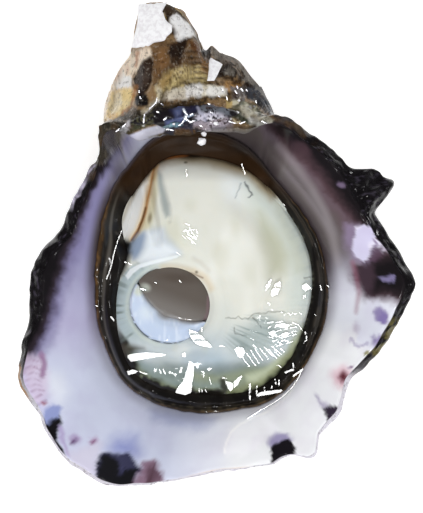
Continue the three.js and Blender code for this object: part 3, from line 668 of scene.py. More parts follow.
        ((208, 150, 166), patch(u, v, (28.6, -16.2), (4.3, 3.4), -30, 0.95) * 0.85),
        ((88, 36, 46), patch(u, v, (29.1, -16.4), (2.5, 1.5), -35, 0.8)),
        ((124, 92, 132), patch(u, v, (30.2, -14.2), (0.9, 0.5), 10, 0.9) * 0.9),
        ((136, 130, 76), patch(u, v, (33.4, -11.3), (1.0, 0.8), 0, 0.8) * 0.9),
        ((140, 126, 172), stroke(u, v, [(29.9, -8.4), (32, -9.8), (33.9, -9.1)], 0.5) * 0.6),
        ((210, 118, 108), stroke(u, v, [(20.4, -32.6), (23.4, -32.1)], 0.35) * 0.8),
        ((222, 204, 190), (1 - ramp(inward, 0.2, 0.9)) * sector(bearing, 285, (-26, -18), (-4, 2)) * 0.8),
        # A painted reflection: the bright pool of liquor at the lower right; a painted highlight along its
        # rim;
        # then painted shade in the dark line where the mantle lies.
        ((250, 250, 254), area(u, v, [
            (12.6, -24), (9.7, -25.1), (7.1, -26.5), (5.4, -27.9), (4.3, -30), (3.9, -31.7), (6.9, -32.2),
            (10.1, -31.1), (13.1, -28.6), (15, -26.7), (14.1, -25.3),
        ], 0.9) * 0.7),
        ((255, 255, 255), stroke(x, y, [
            (19.9, -13.8), (19.1, -17.4), (17.6, -19.9), (15.8, -21.6), (12.6, -23.8), (9.7, -24.9),
            (7, -26.3), (5.4, -27.7), (4.3, -30), (4, -31.7),
        ], 0.4) * 0.95),
        ((70, 62, 64), (1 - ramp(beyond, 0.2, 2.6)) * (0.35 + 0.65 * np.maximum(left_dusk_and_shade, shade))),
    ]
    return layered(colour(228, 230, 240), coats)


# The beak's parts, painted in this order: colour, softness of the edge, strength, and outline.
BEAK_PARTS = [
    ((252, 234, 210), 0.6, 1.0, [
        (-16.2, 52.2), (-12.9, 52.1), (-11.4, 52), (-10.6, 50.5), (-12.4, 48.4), (-14.2, 47.4),
        (-14.7, 45.3), (-14.6, 42.3), (-14.9, 39.7), (-18, 37.2), (-21.1, 36.1), (-27.7, 36.1),
        (-25.2, 46.4), (-19.5, 51),
    ]),
    ((254, 240, 222), 0.8, 0.7, [
        (-19.5, 46.4), (-17, 49.4), (-14.9, 50.5), (-14.9, 48.4), (-17, 47.4), (-18.8, 45.3),
    ]),
    ((255, 253, 250), 0.25, 1.0, [
        (-18.8, 45.3), (-17.2, 47.1), (-15.5, 46.6), (-14.9, 45.1), (-16.7, 44.1), (-18.5, 44.1),
    ]),
    ((242, 216, 152), 0.5, 0.95, [
        (-19.8, 43.8), (-14.9, 44.1), (-14.7, 41.8), (-14.9, 40), (-17.5, 37.9), (-20.8, 36.6),
        (-20.6, 41.2),
    ]),
    ((254, 242, 214), 0.5, 0.8, [(-19.3, 43), (-17.5, 43.5), (-17.2, 41.2), (-18.8, 38.7), (-19.8, 38.7)]),
    ((216, 168, 62), 0.4, 0.9, [(-20.2, 38.7), (-18.3, 38.9), (-17.9, 37.9), (-18.8, 36.5), (-20.6, 36.4)]),
    ((116, 90, 62), 0.5, 1.0, [
        (-11.1, 51.5), (-10.3, 52.8), (-8.3, 53.1), (-6.2, 53.5), (-1.4, 54), (-0.9, 50.7), (0.4, 49.4),
        (0.4, 47.4), (-4.7, 48.4), (-8.3, 46.4), (-10.3, 43.8), (-11.1, 47.4),
    ]),
    ((138, 98, 58), 0.8, 0.6, [(-10.6, 51), (-8.3, 52), (-7.5, 49.4), (-8.3, 47.4), (-10.1, 46.4)]),
    ((72, 50, 33), 0.5, 1.0, HOLLOW),
    ((40, 30, 25), 0.4, 1.0, [
        (-7.3, 52.6), (-4.9, 53.1), (-4.4, 51.6), (-5.3, 49.4), (-6.5, 49), (-7.5, 50.7),
    ]),
    ((78, 56, 38), 0.5, 0.8, [(-9, 47), (-6.5, 49.1), (-6, 47.7), (-7.7, 45.6)]),
    ((44, 33, 27), 0.4, 1.0, [(-6.8, 52.2), (-4.2, 53.3), (-3.8, 52.2), (-5, 50.5), (-6.2, 50.2)]),
    ((96, 60, 28), 0.4, 0.9, [(-3.2, 53.3), (-0.9, 53.8), (-0.6, 51), (-1.4, 50.5), (-2.7, 51.5)]),
    ((212, 192, 136), 0.5, 1.0, [
        (-8.3, 46.4), (-4.7, 48.4), (0.4, 47.9), (0.4, 44.8), (-4.2, 44.1), (-7.8, 42.8), (-9.6, 41.2),
        (-10.3, 43.3),
    ]),
    ((150, 118, 62), 0.4, 0.7, [
        (-8.3, 46.4), (-6.2, 47.4), (-6.8, 45.3), (-8.3, 43.8), (-9.6, 42.3), (-10.1, 43.3),
    ]),
    ((232, 224, 204), 0.3, 1.0, LEDGE),
    ((244, 242, 240), 0.3, 1.0, [(-4.2, 44.1), (-0.9, 44.6), (-0.3, 43.3), (-0.9, 41.8), (-3.7, 41.7)]),
    ((244, 242, 236), 0.3, 0.9, [(0.5, 43.8), (3.7, 44), (4, 42.3), (1.9, 41.8), (0.5, 42.3)]),
    ((150, 118, 74), 0.3, 0.8, [
        (-8.3, 40.9), (-4.7, 41.2), (0.4, 41.8), (0.4, 41.2), (-4.7, 40.5), (-8.3, 40.2),
    ]),
    ((122, 106, 76), 0.3, 0.85, [(-9.6, 43.2), (-7.8, 43.2), (-7.3, 41.9), (-7.9, 40.8), (-9.6, 41.1)]),
    ((54, 42, 37), 0.2, 1.0, FACET),
    ((80, 66, 58), 0.35, 0.7, [
        (-11.9, 48.9), (-11.1, 47.9), (-11.6, 45.3), (-12.6, 43.8), (-13.4, 43.8), (-12.9, 46.4),
    ]),
    ((40, 30, 24), 0.25, 1.0, NOTCH),
    # Painted shadow cast by the loose blade onto the beak at its right.
    ((58, 44, 36), 0.3, 1.0, [(2.6, 49.2), (4, 48.1), (4.5, 46.4), (3.2, 46.1), (2.3, 45.3), (2.1, 46.4)]),
    ((42, 33, 28), 0.25, 1.0, RIGHT_CRAG),
    ((170, 120, 60), 0.4, 0.8, [(-0.9, 50.5), (1.2, 50.7), (0.9, 48.9), (0.5, 46.4), (-0.9, 47.4)]),
    ((180, 136, 80), 0.4, 1.0, [(4, 45.3), (7.6, 45.3), (8.1, 44.6), (6, 43.9), (4.5, 42), (3.6, 43.5)]),
    ((54, 30, 22), 0.25, 1.0, WET_LUMPS),
    ((224, 196, 130), 0.3, 0.9, [
        (4.5, 42.3), (5.5, 42.8), (5.8, 41.2), (6.3, 39.7), (4.5, 39.2), (4.2, 41.2),
    ]),
    ((62, 66, 74), 0.35, 1.0, [
        (8.1, 45), (12.2, 45.1), (15.2, 42.3), (20.9, 36.4), (15.7, 36.8), (12.7, 38.9), (10.1, 41.1),
        (8.2, 42.8),
    ]),
    ((94, 96, 70), 0.4, 1.0, [
        (5.3, 39.7), (8.1, 41.2), (10.6, 40.5), (12.4, 38.2), (13.2, 37.2), (11.7, 35.9), (8.1, 36.4),
        (5.5, 37.9),
    ]),
    ((58, 62, 48), 0.3, 0.9, [(5.8, 38.7), (8.1, 39.2), (10.4, 38.2), (9.6, 36.5), (7.6, 36.5), (6, 37.7)]),
    ((224, 218, 190), 0.3, 0.95, [(5.3, 41.5), (7.1, 41.8), (7.1, 40.5), (5.8, 40)]),
    ((218, 214, 184), 0.35, 0.9, [(8.3, 40.7), (10.4, 40.2), (10.6, 38.9), (8.8, 39.2)]),
    ((230, 226, 204), 0.3, 1.0, [(9.9, 37.5), (11.9, 38), (14.2, 37.2), (13.2, 36.1), (11.4, 35.9)]),
    ((60, 54, 44), 0.4, 1.0, [
        (-14.9, 40), (-14.2, 39.2), (-11.9, 38.9), (-9.3, 41.2), (-8.3, 40.9), (-8.3, 40.2), (-4.7, 40.5),
        (0.4, 41.2), (-1.4, 39.5), (-2.2, 37.9), (-8.3, 36.1), (-12.4, 36.1), (-15.5, 34.1), (-18.8, 31.3),
        (-21.6, 29.5), (-27.7, 23.3), (-27.7, 36.1), (-21.1, 36.5), (-18.8, 37.2),
    ]),
    ((78, 82, 56), 0.4, 0.8, [
        (-18, 33.6), (-15.2, 36.1), (-11.9, 37.2), (-9.3, 36.5), (-12.4, 35.5), (-15.7, 34), (-17.8, 32.8),
    ]),
    ((62, 60, 74), 0.4, 1.0, [
        (-9.3, 36.5), (-6.2, 37.2), (-2.2, 37.7), (-2.2, 35.9), (-0.6, 34.2), (-3.2, 33.3), (-8.3, 33.8),
        (-9.3, 35.1),
    ]),
    ((128, 170, 190), 0.4, 0.9, [
        (-9.3, 36.1), (-7.3, 36.5), (-4.7, 36.8), (-5, 35.9), (-7.3, 35.4), (-8.8, 35),
    ]),
    ((104, 76, 48), 0.4, 0.9, [(-6, 35.1), (-3.2, 34.9), (-1.4, 33.8), (-2.2, 31.5), (-6.2, 33.3)]),
    ((150, 140, 150), 0.5, 0.9, [(3, 34), (5.8, 35), (10.6, 34.1), (13.2, 33.1), (10.6, 33.3), (5.5, 33.7)]),
    ((66, 60, 50), 0.3, 1.0, [
        (-22.1, 36.6), (-14.1, 36.4), (-16.4, 34.7), (-18.3, 32.6), (-19.6, 30.9), (-21.3, 28), (-24.7, 28),
        (-24.7, 36.6),
    ]),
    # A second coat inside the last one, which firms its edge.
    ((66, 60, 50), 0.3, 1.0, [
        (-22.1, 36.4), (-14.1, 36.4), (-16.4, 34.7), (-18.3, 32.6), (-19.6, 30.9), (-21.3, 28.2),
        (-23, 28.2),
    ]),
    ((22, 18, 18), 0.35, 1.0, [
        (-14.2, 42.3), (-12.4, 42.5), (-11.6, 41.2), (-12.1, 40), (-13.8, 39.7), (-14.4, 41),
    ]),
    ((74, 54, 36), 0.35, 0.9, [(4.3, 42.8), (5.8, 43.1), (6.2, 41.5), (4.9, 40.8), (4.2, 41.4)]),
    ((196, 190, 166), 0.4, 0.9, [(7, 39.7), (9, 40.2), (10.4, 38.9), (10.8, 37.5), (9, 37), (7.6, 38.1)]),
    ((216, 216, 208), 0.35, 0.9, [
        (9, 37.4), (11.6, 36.9), (14.7, 36.3), (14.9, 35.8), (12.5, 35.2), (11.2, 35), (10.7, 35.9),
        (9.4, 36.3),
    ]),
    ((205, 196, 210), 0.4, 0.9, CRYSTALS),
    ((238, 236, 240), 0.3, 0.9, [
        (-17.8, 34.9), (-16.7, 36.1), (-15.5, 37.3), (-15.2, 36.5), (-16.5, 34), (-17.6, 33.6),
    ]),
    ((64, 50, 36), 0.3, 1.0, [
        (-8.8, 60.9), (-6.8, 60.9), (-4.7, 59.5), (-2.7, 58), (-1.3, 56.2), (-1.1, 54), (-2.7, 54),
        (-1.8, 56), (-3, 57.2), (-4.7, 57.9), (-6, 58.9), (-7.3, 57.9), (-7.3, 56.8), (-6.2, 55.8),
        (-6.8, 54.5), (-7.5, 55.3), (-8.3, 57.1), (-8.8, 59.4),
    ]),
    ((244, 244, 245), 0.25, 1.0, CHALK_LUMP),
    ((226, 218, 206), 0.4, 0.8, [(-6.2, 55.8), (-5.2, 56.2), (-4.7, 55.3), (-5, 53.8), (-6, 54)]),
]
BEAK_LINES = [  # colour, width, strength and course of the streaks
    ((222, 220, 224), 0.4, 0.9, [(-16.2, 35.1), (-17.7, 32.6), (-19, 31.3), (-20.7, 28.4)]),
    ((120, 112, 96), 0.3, 0.8, [(-19.6, 35.6), (-20.7, 29.7)]),
    ((112, 104, 88), 0.25, 0.8, [(-17.9, 36), (-19.8, 31.4)]),
    ((198, 146, 116), 0.7, 0.8, [(-14, 51.5), (-14.6, 48.9)]),
    ((206, 158, 128), 0.6, 0.7, [(-16.1, 49.7), (-16.6, 47.4)]),
    ((206, 160, 130), 0.5, 0.7, [(-17.5, 48.4), (-18.8, 46.4)]),
    ((168, 108, 48), 0.8, 0.9, [(-14.4, 44.1), (-14.9, 41.8), (-15.4, 40), (-17, 38.6)]),
    ((120, 84, 44), 0.45, 0.8, [(-14.7, 47.4), (-15.2, 45.3), (-14.6, 43.8)]),
    ((108, 86, 50), 0.35, 0.85, [(-5.2, 48.1), (-2.7, 48.5), (0.1, 48.1)]),
    ((104, 82, 48), 0.3, 0.8, [(-7.3, 45.3), (-5.2, 46.8), (-2.7, 47.2), (0.1, 46.6)]),
    ((112, 92, 54), 0.3, 0.7, [(-8.3, 44.1), (-6, 45.6), (-2.9, 46.1), (0.1, 45.6)]),
    ((116, 94, 56), 0.3, 0.7, [(-8.3, 43.3), (-6.2, 44.8), (-3.2, 45.2)]),
    ((214, 204, 176), 1.0, 0.95, [(-9.6, 43.4), (-9.3, 42), (-12.4, 38.7)]),
    ((244, 242, 236), 0.35, 1.0, [(-9.5, 41.2), (-12.1, 38.6), (-12.7, 36)]),
    ((226, 190, 116), 0.35, 0.8, [(-8.3, 58.9), (-7.9, 56.8)]),
    ((200, 168, 110), 0.3, 0.8, [(-6.2, 60.2), (-5, 59.1), (-3.7, 58.4)]),
    ((36, 28, 22), 0.4, 0.9, [(-8.8, 59.4), (-8, 57.1), (-7, 55.8), (-7, 54.7)]),
    ((150, 134, 118), 0.25, 0.8, [(1.7, 51.9), (4, 50.5), (6, 48.7), (7.3, 46.9)]),
    ((132, 112, 92), 0.22, 0.8, [(3, 51.5), (5.3, 50.2), (6.8, 48.7), (8.1, 46.4)]),
    ((236, 226, 190), 0.25, 0.9, [(5.4, 37.9), (6.3, 36.8), (8.1, 36.5)]),
    ((134, 96, 50), 0.4, 0.8, [(-2.4, 34.9), (-1.4, 33.1), (-0.9, 32.3)]),
    ((150, 190, 206), 0.7, 0.9, [(-8.3, 35.9), (-6.2, 36), (-4.7, 36.5)]),
]

# Two bright stretches of the ledge, then the flank and the middle of the beak, which carry less dirt
# and less painted shade.
LEDGE_LEFT = [(-4.2, 43.8), (-2.8, 44.5), (-1.1, 44.6), (-1.1, 42.5), (-2.3, 41.7), (-4, 41.9)]
LEDGE_RIGHT = [(0.2, 43.5), (2.3, 43.8), (4.4, 43.6), (4.4, 42.3), (2.3, 41.9), (0.2, 42.2)]
LEFT_FLANK = [
    (-13.6, 51.2), (-10.8, 51.2), (-12.7, 48.8), (-14.6, 47), (-15.1, 44.8), (-14.6, 43.2), (-15.6, 40.6),
    (-18.3, 38.1), (-21.3, 36.4), (-22.1, 40.6), (-20.2, 45.7), (-17.3, 49.9),
]
PALE_MIDDLE = [
    (-10.1, 47.2), (-4.9, 49.1), (0.6, 49.9), (1.5, 44.8), (-4.4, 44.8), (-8.7, 42.5), (-10.8, 43.2),
    (-10.5, 45.7),
]


def crust_paint(share, bearing, x, y, z, hollow):
    """Colours of the outside: grey-brown layers with purple-black rays, the black lumpy brim, and on the
    beak the ochre, chalk white, olive and near-black of its broken, weathered plates, with painted shade
    in each hollow and painted light on the crests."""
    hinge = hinge_share(bearing)
    beside = sector(bearing, 94, (-44, -33), (36, 46))
    rays = ramp(noise(bearing / 3.2, share * 9, 2.2), -0.1, 0.4)
    side = mix(colour(150, 138, 126), colour(52, 42, 52), rays[..., None])
    fine, rough = crags(x, y, z, 1.4, 3), crags(x, y, z, 4.0)
    u, v = wander(*wander(x, y, 1.3, 0.32), 0.45, 0.2)
    flecks = specks(x, y)
    arcs = ramp(np.abs(terraces(x, y) % 1 - 0.5), 0.3, 0.5)
    on_brim = ramp(share, EDGE - 0.008, EDGE - 0.003) * (1 - ramp(share, at_key(9.3), at_key(9.9)))
    on_brim = on_brim * (1 - hinge)
    bare = sector(bearing, 310, (-30, -25), (20, 25))
    wide = ramp(by_bearing(BRIM_WIDTH, bearing), 0.7, 1.6) * (1 - bare)
    silver = sector(bearing, 138, (-12, -7), (5, 9)) * ramp(share, at_key(8.0), at_key(8.3))
    silver = silver * (0.35 + 0.65 * ramp(noise(bearing / 1.1, share * 30, 3.3), -0.3, 0.3))
    ochre = sector(bearing, 204, (-6, -3), (3, 7)) * ramp(share, at_key(7.8), at_key(8.3))
    olive = sector(bearing, 347, (-9, -6), (5, 9)) * ramp(noise(bearing / 1.4, share * 24, 8.1), -0.2, 0.3)
    coats = [
        ((18, 15, 18), on_brim * wide),
        ((76, 70, 84), on_brim * wide * ramp(fine, 0.84, 0.94) * 0.7),
        ((236, 233, 243), on_brim * (1 - wide) * (1 - ramp(share, at_key(8.8), at_key(9.3)))),
        ((206, 200, 222), on_brim * silver),
        ((176, 130, 74), on_brim * ochre * 0.8),
        ((120, 112, 66), on_brim * olive * 0.8),
        ((152, 124, 88), hinge * ramp(share, at_key(7.2), at_key(7.8))),
    ]
    for tint, soft, strength, outline in BEAK_PARTS:
        coats.append((tint, beside * strength * area(u, v, outline, soft)))
    for tint, width, strength, line in BEAK_LINES:
        coats.append((tint, beside * strength * stroke(u, v, line, width)))
    # Less dirt and less painted shade on the flank and in the middle of the beak.
    dirt_and_shade_strength = 1 - 0.6 * np.maximum(area(x, y, LEFT_FLANK, 1.0), area(x, y, PALE_MIDDLE, 1.0))
    coats += [
        ((96, 78, 48), arcs * patch(x, y, (-3.0, 47.0), (8.0, 4.6), 0, 0.4) * 0.5),
        # Light crusts over the dark foot on the left, crystals at the lip, and green-black dirt along it.
        ((160, 150, 136), hinge * area(u, v, [
            (-27.7, 36.1), (-21.1, 36.5), (-14.9, 39.7), (-14.2, 39.2), (-18.8, 31.3), (-27.7, 23.3),
        ], 0.4) * ramp(flecks, 0.25, 0.8)),
        ((70, 60, 66), area(u, v, CRYSTALS, 0.4) * ramp(flecks, 0.3, 0.8)),
        ((40, 42, 36), hinge * (1 - ramp(share, at_key(7.6), at_key(8.0))) * ramp(rough, 0.35, 0.6) * 0.7),
        # Dirt in patches and specks, painted shade in each hollow and pit, and painted light on the crests.
        ((104, 80, 56), beside * dirt_and_shade_strength * ramp(noise(x / 1.7, y / 1.7, 5.5), 0.0, 0.6) * 0.4),
        ((50, 36, 26), beside * dirt_and_shade_strength * ramp(hollow, 0.0, 0.35) * 0.85),
        ((70, 52, 36), beside * dirt_and_shade_strength * ramp(flecks, 0.5, 1.1) * 0.7),
        ((246, 238, 222), hinge * ramp(-hollow, 0.1, 0.4) * 0.2),
        ((250, 250, 250), area(u, v, CHALK_LUMP, 0.3) * (0.85 - 0.6 * ramp(flecks, 0.5, 1.0))),
        ((246, 244, 240), np.maximum(area(u, v, LEDGE_LEFT, 0.4), area(u, v, LEDGE_RIGHT, 0.4)) * 0.75),
    ]
    return layered(side, coats)


def node(tree, kind, inputs=None, **settings):
    """A new shader node with its settings, each named input given a value or linked from an output."""
    made = tree.nodes.new("ShaderNode" + kind)
    for key, value in settings.items():
        setattr(made, key, value)
    for key, value in (inputs or {}).items():
        if isinstance(value, bpy.types.NodeSocket):
            tree.links.new(value, made.inputs[key])
        else:
            made.inputs[key].default_value = value
    return made


def blend(tree, share, a, b, mode="MIX"):
    """The output of a colour mix of a and b; each is a colour of three numbers or an output."""
    made = node(tree, "Mix", data_type="RGBA", blend_type=mode, clamp_factor=True)
    for socket, value in ((made.inputs[0], share), (made.inputs[6], a), (made.inputs[7], b)):
        if isinstance(value, bpy.types.NodeSocket):
            tree.links.new(value, socket)
        else:
            socket.default_value = value if np.isscalar(value) else (*value, 1)
    return made.outputs[2]


def sums(tree, operation, *values):
    """The output of a Math node on values that are numbers or outputs."""
    return node(tree, "Math", dict(enumerate(values)), operation=operation).outputs[0]


def field(tree, name, output="Fac"):
    """The output of a point attribute, as a number or as its Color."""
    return node(tree, "Attribute", attribute_name=name).outputs[output]


def grain(tree, size, detail=3.0, stretch=(1, 1, 1), roughness=0.5):
    """Noise on Object coordinates whose features are about size millimetres across, from 0 to 1."""
    place = node(tree, "TexCoord").outputs["Object"]
    placed = node(tree, "Mapping", {"Vector": place, "Scale": stretch}).outputs[0]
    inputs = {"Vector": placed, "Scale": 1 / (size * MM), "Detail": detail, "Roughness": roughness}
    return node(tree, "TexNoise", inputs).outputs["Fac"]


def scale(tree, value, low, high, to_low=0.0, to_high=1.0):
    """A value's stretch from low to high, carried smoothly to the stretch from to_low to to_high."""
    inputs = {"Value": value, "From Min": low, "From Max": high, "To Min": to_low, "To Max": to_high}
    return node(tree, "MapRange", inputs, interpolation_type="SMOOTHSTEP").outputs[0]


def bump(tree, height, strength, depth):
    """The normal of a surface raised by height, which runs from 0 to 1 and stands for depth millimetres."""
    inputs = {"Height": height, "Strength": strength, "Distance": depth * MM}
    return node(tree, "Bump", inputs).outputs["Normal"]


def finish(material, **inputs):
    """A material's Principled shader with the inputs, named with _ for a space."""
    tree = material.node_tree
    shader = tree.nodes["Principled BSDF"]
    for key, value in inputs.items():
        socket = shader.inputs[key.replace("_", " ")]
        if isinstance(value, bpy.types.NodeSocket):
            tree.links.new(value, socket)
        else:
            socket.default_value = value
    return material


def new_material(name):
    """A material with nodes, and its node tree."""
    made = bpy.data.materials.new(name)
    made.use_nodes = True
    return made, made.node_tree


def valve_material():
    """Wet smooth nacre, and a crust that is craggy, pitted and dry on the beak but wet on the brim."""
    made, tree = new_material("nacre_and_crust")
    paint = field(tree, "paint", "Color")
    crust = field(tree, "crust")
    dirt = grain(tree, 0.9, 6, roughness=0.7)
    pits = sums(tree, "MULTIPLY", crust, scale(tree, dirt, 0.38, 0.48, 0.45, 0))
    pitted = blend(tree, pits, paint, colour(74, 56, 44), "MULTIPLY")
    chalk = sums(tree, "MULTIPLY", field(tree, "chalk"),
                 scale(tree, grain(tree, 0.7, 4), 0.56, 0.70, 0, 0.16))
    base = blend(tree, chalk, pitted, colour(236, 228, 210))
    clouds = scale(tree, grain(tree, 6, 2), 0.4, 0.75, 0, 0.18)
    milky = blend(tree, clouds, base, colour(214, 196, 220), "MULTIPLY")
    waves = bump(tree, grain(tree, 3.5, 2), 0.2, 0.2)
    crag = bump(tree, dirt, 1.0, 0.8)
    normal = node(tree, "Mix", data_type="VECTOR")
    for socket, value in ((normal.inputs[0], crust), (normal.inputs[4], waves), (normal.inputs[5], crag)):
        tree.links.new(value, socket)
    dry = field(tree, "dry")
    return finish(
        made, Base_Color=milky, Roughness=scale(tree, dry, 0, 1, 0.35, 0.7), Specular_IOR_Level=0.1,
        Normal=normal.outputs[1], Coat_Weight=scale(tree, dry, 0, 1, 0.9, 0.1), Coat_Roughness=0.04,
        Coat_IOR=1.28,
    )


def crowded_bearings(count):
    """Bearings spread along the outline as even_bearings does, but 2.6 times as close along the hinge."""
    even, run = even_bearings(7200, shell_reach)
    weight = np.cumsum(1 + 1.6 * hinge_share(even))
    place = np.interp(np.arange(count) / count * weight[-1], weight, np.arange(7200))
    return np.interp(place, np.arange(7200), even), np.interp(place, np.arange(7200), run)


def sunk(height, reach):
    """How far each point of a grid lies below the mean of the points up to reach steps away."""
    shifts = range(-reach, reach + 1)
    total = sum(np.roll(height, shift, axis) for shift in shifts for axis in (0, 1))
    return total / (2 * len(shifts)) - height


# Rows crowd where the section turns and shows: on the margin and brim, and at the hinge over the top of the
# beak.
row_numbers = np.linspace(0, 1, 130)
open_rows = np.interp(row_numbers, [0, 0.06, 0.5, 0.72, 0.93, 1], [0, 0.2, 0.465, 0.64, 0.84, 1])
hinge_rows = np.interp(row_numbers, [0, 0.06, 0.14, 0.70, 0.9, 0.97, 1], [0, 0.3, 0.5, 0.6, 0.665, 0.82, 1])
bearings, runs = crowded_bearings(760)
hinge = hinge_share(bearings)
row_shares = mix(open_rows[:, None], hinge_rows[:, None], hinge)
grid = valve_surface(bearings, runs, row_shares)
crust = np.maximum(ramp(row_shares, EDGE - 0.002, EDGE + 0.008), hinge * ramp(row_shares, EDGE, at_key(7.4)))
crust = crust * (1 - area(*grid[:2], LIP_BAND, 0.3) * (1 - ramp(row_shares, at_key(8.6), at_key(9.2))))
crust = np.maximum(crust, area(*grid[:2], BESIDE_HINGE, 0.2))
on_beak = hinge * ramp(row_shares, at_key(7.6), at_key(8.0))
by_lip = 1 - ramp(grid[1] - 0.12 * np.abs(grid[0]), 38.6, 40.2)
wet = np.maximum.reduce([area(*grid[:2], WET_LUMPS, 0.5), area(*grid[:2], NOTCH, 0.5), by_lip])
dry = np.maximum(on_beak * 0.9 * (1 - wet), ramp(row_shares, at_key(9.6), at_key(10.4)) * (1 - hinge))
# How far each point is sunk below its neighbours: painted shade goes in the hollows, painted light on the
# crests.
outside = crust_paint(row_shares, bearings, *grid, sunk(grid[2], 4))
valve = solid("valve", *grid, True, {
    "paint": mix(nacre_paint(bearings, *grid[:2]), outside, crust[..., None]),
    "crust": crust,
    "dry": dry * crust,
    "chalk": on_beak * crust,
})
valve.data.materials.append(valve_material())
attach(valve, "root")
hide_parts("shell")

# --- The flakes -------------------------------------------------------------------------------------------
# Two loose chalk-white plates with straight edges, one on the tip of the beak and a small blade at its
# right. Each is thin, and lies on a plane fitted to the crags below it.

BEAK_REACHES = np.arange(34, 64, 0.25)
beak_table = height_table(7.3, 9.4, BEAK_REACHES)


def beak_height(x, y):
    """The height of the beak's upper side with its relief."""
    return read_height(beak_table, BEAK_REACHES, x, y) + beak_relief(x, y)


def plate_surface(corners, thickness, lift, columns=96, rows=14):
    """A thin plate over an outline: out from its middle across the top, over the edge and back beneath. It
    lies on a plane fitted to the beak under its corners, raised by lift, and its faces ripple a little."""
    edge_x, edge_y = spread_round(corners, columns)
    middle_x, middle_y = edge_x.mean(), edge_y.mean()
    across = np.concatenate([np.linspace(0, 1, rows), np.linspace(1, 0, rows)])[:, None]
    jagged = 1 + 0.05 * noise(edge_x / 0.7, edge_y / 0.7, 4.4)
    x = middle_x + (edge_x - middle_x) * across * jagged
    y = middle_y + (edge_y - middle_y) * across * jagged
    level = np.stack([edge_x, edge_y, np.ones(columns)], axis=1)
    slope_x, slope_y, height = np.linalg.lstsq(level, beak_height(edge_x, edge_y), rcond=None)[0]
    plane = slope_x * x + slope_y * y + height + lift
    above = (np.arange(2 * rows) < rows)[:, None] * thickness * (1 - 0.6 * across**6)
    return x, y, plane + above + 0.12 * noise(x / 1.3, y / 1.3, 1.1) + 0.05 * noise(x / 0.4, y / 0.4)


def chalk_material():
    """Dry powdery white, a little greyer in patches."""
    made, tree = new_material("chalky_flake")
    powder = grain(tree, 0.8, 5)
    tint = blend(tree, scale(tree, powder, 0.42, 0.62), colour(246, 246, 248), colour(232, 230, 233))
    return finish(made, Base_Color=tint, Roughness=0.55, Normal=bump(tree, powder, 0.5, 0.25))


chalk = chalk_material()
FLAKES = {
    "flake_tip": ([
        (-13.8, 61.1), (-7.8, 61.1), (-8.7, 59.4), (-8.1, 57.4), (-6.7, 56.2), (-6.8, 54.8), (-8.3, 53.3),
        (-10.3, 52.9), (-11.6, 52.2), (-12.6, 52.1), (-14.2, 51.9), (-15.2, 52), (-14.9, 53.5),
        (-14.2, 56.3), (-13.9, 57.9),
    ], 1.4, 0.95),
    "flake_blade": ([
        (1.2, 50.2), (3.6, 48.7), (2.6, 46.4), (1.9, 45), (0.4, 45), (0.8, 47.4), (0.8, 49.4),
    ], 0.6, 1.3),
}
for name, (corners, thickness, lift) in FLAKES.items():
    flake = solid(name, *plate_surface(corners, thickness, lift), True)
    flake.data.materials.append(chalk)
    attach(flake, "root")
    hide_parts("shell")

# --- The body ---------------------------------------------------------------------------------------------
# The plump soft flesh: a cream dome over the gut, a gill fold on the left behind a rust-coloured line, and a
# thinner greenish skirt with fine rays at the right and the bottom. It is a thick ring round the muscle, wet
# with liquor.

CLEARANCE = 0.35
BODY_EDGE = 14.2
PLUMPNESS = 4.4
BODY_REACH = np.array([
    22.4, 23.4, 24.3, 25.2, 27, 29, 30.2, 31, 27.8, 24.4, 19.2, 18.6,
    18.8, 19.4, 20.4, 21.6, 21.4, 20.6, 20.2, 21.0, 22.0, 22.3, 22.2, 21.9,
])
MUSCLE = (-7.3, -1.2, 8.5, 8.1)  # the middle and the radii of its oval
MUSCLE_TOP = 17.2

CUP_REACHES = np.arange(0, 40, 0.25)
cup_table = height_table(0, 6.8, CUP_REACHES)


def cup_height(x, y):
    """The height of the nacre under a point."""
    return read_height(cup_table, CUP_REACHES, x, y)


def body_reach(bearing):
    """How far the body's outline is from the origin."""
    return by_bearing(BODY_REACH, bearing)


def body_share(x, y):
    """How far points are from the origin, as a share of the way to the body's outline."""
    return np.hypot(x, y) / body_reach(bearing_of(x, y))


def muscle_reach(bearing):
    """How far the muscle's outline is from its own middle."""
    angle = np.radians(bearing)
    return 1 / np.hypot(np.cos(angle) / MUSCLE[2], np.sin(angle) / MUSCLE[3])


def muscle_share(x, y):
    """How far points are from the muscle's middle, as a share of the way to its outline."""
    return np.hypot((x - MUSCLE[0]) / MUSCLE[2], (y - MUSCLE[1]) / MUSCLE[3])


def muscle_bearing(x, y):
    """The bearing of points from the muscle's middle."""
    return bearing_of(x - MUSCLE[0], y - MUSCLE[1])


def from_muscle(bearing, reach):
    """The x and y of points at a bearing and a reach from the muscle's middle."""
    x, y = at(bearing, reach)
    return MUSCLE[0] + x, MUSCLE[1] + y


def flesh_top(x, y):
    """The top of the flesh as the solid has it: a dome over the outline, a lip round the muscle, the gill
    fold's furrow, the valley before the skirt and the slope down into the hinge cavity."""
    outward = body_share(x, y)
    dome = PLUMPNESS * np.maximum(0, 1 - np.minimum(outward, 1) ** 2.6) ** 0.7
    ring = muscle_share(x, y)
    lip = 0.4 * hump(ring - 1.16, 0.24) - 1.2 * (1 - ramp(ring, 1, 1.6))
    furrow = -1.2 * hump(x + 11 + 0.16 * (y - 18), 1.6) * ramp(y, 10, 14)
    valley = -0.6 * hump(np.hypot(x + 4, y - 4) - 19.5, 3.6) * ramp(x, 2, 8)
    return BODY_EDGE + dome + lip + furrow + valley - 3 * ramp(y, 24.5, 31.5)


